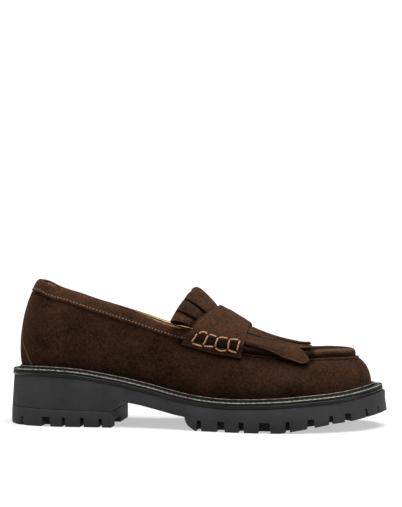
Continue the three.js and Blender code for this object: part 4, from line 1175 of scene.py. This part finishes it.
def loopStrip(low, high):
    u = np.linspace(0, len(loopRows) - 1, 90)
    out, up = (
        throughPoints([row[key] for row in loopRows], u)[:, None] for key in ("out", "up")
    )
    leaving = u[:, None] < kiltie["returns"]
    slit = kiltie["slit"] + kiltie["slitMore"] * (1 - smooth(out * 1.1)) * leaving
    share = np.linspace(0, 1, 13)[None, :]
    # the middle slits stay almost shut
    shut = [kiltie["shut"] if abs(end) < kiltie["shutSide"] else 1 for end in (low, high)]
    lowSlit, highSlit = slit * shut[0], slit * shut[1]
    side = low + lowSlit + (high - low - lowSlit - highSlit) * share
    hand = np.sign(side + 1e-9)
    level = np.abs(side)
    turn = turnAt(along(edgeAt(strapRows, side, "hinge")), side)
    base = surface(turn, level, kiltie["rest"] + kiltie["thickness"] / 2)
    fold = [edgeAt(foldRows, level, key) for key in ("back", "inward", "rise")]
    way = np.stack([-fold[0], -hand * fold[1], fold[2]], -1)
    reach = np.linalg.norm(way, axis=-1) * kiltie["loopReach"]
    way = unit(way)
    normal = outward(turn, level)
    normal = unit(normal - (normal * way).sum(-1, keepdims=True) * way)
    run = np.gradient(out, axis=0) * reach
    climb = np.gradient(up, axis=0) * kiltie["loopOpening"]
    long = np.hypot(run, climb)
    clear = kiltie["clear"] * level**2 * smooth(out / 0.12)
    # the outer corner of the first and the last loop stands up in an arch
    corner = smooth((level - kiltie["archSide"]) / 0.15) * leaving
    clear = clear + kiltie["arch"] * corner * np.sin(np.pi * np.clip(out, 0, 1)) ** 0.7

    def layer(extra):
        forward = out * reach - extra * climb / long
        upward = up * kiltie["loopOpening"] + clear + extra * run / long
        return base + way * forward[..., None] + normal * upward[..., None]

    ends = np.where(share < 0.5, low, high)
    border = np.minimum(share, 1 - share) * (high - low) * 60
    border = border + 9 * (np.abs(ends) < kiltie["shutSide"])
    outer = np.abs(level - kiltie["endSide"]) * kiltie["perSide"]
    back = u[:, None] > kiltie["returns"] + 0.4
    cut = 0.6 * (1 - smooth(outer / 0.8)) * ~back
    # painted shade along the open slits, on the returning part of each loop and on the hidden side
    # of the strips
    dark = kiltie["slitTone"] * (1 - smooth(border / 0.9)) * (cut < 0.05)
    dark = np.maximum(dark, 0.9 * back)
    hidden = kiltie["slitTone"] * np.ones(side.shape)
    return layer(kiltie["thickness"] / 2), layer(-kiltie["thickness"] / 2), (dark, hidden), cut


def makeKiltie():
    parts = [kiltieWeb()]
    parts += [fringeStrip(rows, number) for number, rows in enumerate(fringeTables)]
    parts += [loopStrip(low, high) for low, high in zip(loopSides[:-1], loopSides[1:])]
    points, faces = sheetParts([part[:2] for part in parts])
    shade, edge = [], []
    for top, _, dark, cut in parts:
        shade += [layer.ravel() for layer in dark]
        edge += [(cut * np.ones(top.shape[:2])).ravel()] * 2
    tones = {"shade": np.concatenate(shade), "edge": np.concatenate(edge)}
    piece = meshObject("fringed_kiltie", points, faces, [kiltieSuedeLit], tones=tones)
    return roundEdges(piece, kiltie["edgeRound"], 2)


place(makeKiltie(), "kiltie")
print("kiltie made")


# The welt with its rib, the midsole and the sock, swept round the outline
def sweptRing(name, profile, material, worn=(), steps=720):
    rings = []
    for inset, height in profile:
        line = outline(steps, inset)
        rings.append(np.c_[line, height(line[:, 0])])
    points = np.stack(rings, 1)
    faces = gridFaces(steps, len(profile), wrapRows=True, wrapColumns=True)
    tones = {"edge": np.tile(worn, steps)} if worn else None
    return meshObject(name, points.reshape(-1, 3), faces, [material], tones=tones)


def fromEdge(value):
    return lambda x: weltInset(x) + value


def fromUpper(value):
    return lambda x: feather(x) - layers["gap"] - value


def above(line, value):
    return lambda x: line(x) + value


rib, wide = layers["ribRise"], layers["ribWidth"]
weltRows = table(
    # the last column marks pale lines on the welt's outer edge and on the rib's top: partly wear
    # and partly a painted highlight of the glossy edges
    "measured inset up worn",
    (fromEdge, 0.25, -1.75, 0), (fromEdge, 0, -1.5, 0), (fromEdge, 0, -0.5, 0),
    (fromEdge, 0.05, -0.25, 0.25), (fromEdge, 0.22, 0, 0.9), (fromEdge, 0.5, 0.1, 0.7),
    (fromEdge, 0.75, 0.04, 0), (fromEdge, 1.3, -0.25, 0), (fromEdge, 2, -0.35, 0),
    (fromUpper, wide + 1.4, -0.35, 0), (fromUpper, wide + 0.5, -0.3, 0),
    (fromUpper, wide + 0.1, 0.3, 0), (fromUpper, wide - 0.05, rib - 0.5, 0),
    (fromUpper, wide - 0.2, rib - 0.1, 0.6), (fromUpper, wide - 0.5, rib + 0.05, 0.5),
    (fromUpper, wide - 0.9, rib, 0), (fromUpper, 0.8, rib - 0.05, 0),
    (fromUpper, 0.3, rib - 0.4, 0), (fromUpper, 0, rib - 1, 0), (fromUpper, 0, -1.75, 0),
)
weltProfile = [(row["measured"](row["inset"]), above(weltTop, row["up"])) for row in weltRows]
place(sweptRing("storm_welt", weltProfile, weltLeather, [row["worn"] for row in weltRows]), "welt")
weltLine = outline(900, fromEdge(2.6))
weltPath = np.c_[weltLine, weltTop(weltLine[:, 0]) - 0.12]
weltTree, weltSockets = stitchTree("welt_stitches", weltThread)
place(stitchRow("welt_stitch_row", np.vstack([weltPath, weltPath[:1]]), weltTree, weltSockets,
                Pitch=0.0036, Stitch_length=0.0029, Thread_radius=0.0004), slot="welt")


thick = layers["midsole"]
midsoleRows = table(
    "inset up",
    (0.6, -0.2), (0.12, 0.15), (-0.15, 0.8), (-0.2, thick * 0.5), (-0.12, thick - 0.6),
    (0.2, thick), (0.7, thick + 0.15), (14, thick + 0.15), (14, -0.2),
)
midsoleProfile = [
    (fromEdge(row["inset"]), above(seat, layers["gap"] + row["up"])) for row in midsoleRows
]
place(sweptRing("midsole_layer", midsoleProfile, midsoleRubber), "midsole")


sock = {"clear": 0.15, "cup": 2.2, "cupFrom": 0.62, "cupEnds": 0.3, "rounded": 0.9,
        "underside": 0.2}


def makeSock():
    turns, _ = upperTurns()
    share = np.r_[np.linspace(0, 0.9, 26), np.linspace(0.925, 1, 8), 1, 1][:, None]
    x, y, wayX, wayY, reach = spokeAt(turns, "x", "y", "wayX", "wayY", "reach")
    inside = reach - last["wall"] - sock["clear"]
    px, py = x + wayX * inside * share, y + wayY * inside * share
    cup = sock["cup"] * smooth((share - sock["cupFrom"]) / (1 - sock["cupFrom"]))
    cup = cup * (1 - smooth((px - along(sock["cupEnds"])) / (length * 0.2)))
    z = upperFoot(px) + layers["insole"] + cup
    z = z - sock["rounded"] * smooth((share - 0.955) / 0.045) ** 2
    z[-2] = upperFoot(px[-2]) + layers["insole"] * 0.4
    z[-1] = upperFoot(px[-1]) + sock["underside"]
    rows = np.stack([px, py, z], -1)
    under = rows[:1].copy()
    under[..., 2] = upperFoot(px[:1]) + sock["underside"]
    rows = np.concatenate([rows, under])
    faces = gridFaces(len(rows), len(turns), wrapColumns=True)
    return meshObject("leather_sock", rows.reshape(-1, 3), faces, [sockLeather])


place(makeSock(), "insole")
print("welt, midsole and sock made")


# The outsole and the heel lift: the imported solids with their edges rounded
solids = {"near": 0.00002, "flat": math.radians(0.6), "edge": 0.45, "bevelFrom": 34,
          "sharpFrom": math.radians(42)}


def roundedSolid(node, name):
    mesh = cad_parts[node].data.copy()
    mesh.materials.clear()
    mesh.materials.append(soleRubber)
    cleaned(mesh, solids["near"], solids["flat"])
    piece = linked(name, mesh)
    roundEdges(piece, solids["edge"], 3, solids["bevelFrom"])
    piece.data.polygons.foreach_set("use_smooth", [True] * len(piece.data.polygons))
    piece.data.set_sharp_from_angle(angle=solids["sharpFrom"])
    return piece


place(roundedSolid("outsole", "lug_outsole"), "outsole")
place(roundedSolid("heel_lift", "heel_top_piece"), "heel_lift")
print("sole made")

# Floor, light and camera
floorMaterial, floorTree, floorShader = newMaterial("floor_paper")
setInputs(floorShader, Base_Color=(0.24, 0.24, 0.24, 1), Roughness=0.9, Specular_IOR_Level=0.05,
          Emission_Color=(1, 1, 1, 1), Emission_Strength=0.5)
bpy.ops.mesh.primitive_plane_add(size=400, location=(0, 0, 0))
floor = bpy.context.object
floor.name = "floor_sheet"
floor.data.materials.append(floorMaterial)

world = bpy.data.worlds.new("studio")
bpy.context.scene.world = world
world.use_nodes = True
sky = world.node_tree.nodes["Background"]
sky.inputs["Color"].default_value = (1, 1, 1, 1)
seen = world.node_tree.nodes.new("ShaderNodeLightPath")
world.node_tree.links.new(
    rangeNode(world.node_tree, seen.outputs["Is Camera Ray"], 0, 1, 0.2, 1.1),
    sky.inputs["Strength"],
)

suns = table(
    "name from angle power",
    ("top_light", (0.12, -0.12, 1), 52, 7.4),
    ("toe_light", (1, -0.3, 0.45), 40, 1.0),
    ("heel_light", (-1, -0.25, 0.35), 40, 0.8),
)


def aim(thing, place, target):
    thing.location = place
    thing.rotation_mode = "QUATERNION"
    way = Vector(target) - Vector(place)
    thing.rotation_quaternion = way.to_track_quat("-Z", "Y")


for row in suns:
    lamp = bpy.data.lights.new(row["name"], "SUN")
    lamp.energy = row["power"]
    lamp.angle = math.radians(row["angle"])
    aim(linked(row["name"], lamp), row["from"], (0, 0, 0))

camera = {"place": (113.2, -854.5, 108.9), "yaw": 7.324, "pitch": 1.187, "focal": 1152.0}
cameraData = bpy.data.cameras.new("photo_camera")
cameraData.sensor_width = 36
cameraData.lens = 36 * camera["focal"] / 507
cameraHolder = linked("photo_camera", cameraData)
cameraHolder.location = toFrame(camera["place"])
cameraHolder.rotation_mode = "XYZ"
cameraHolder.rotation_euler = np.radians((90 + camera["pitch"], 0, camera["yaw"]))
cameraData.clip_start, cameraData.clip_end = 0.01, 50
bpy.context.scene.camera = cameraHolder
bpy.context.scene.view_settings.view_transform = "Standard"
bpy.context.scene.view_settings.look = "None"
print("stage, lights and camera set")
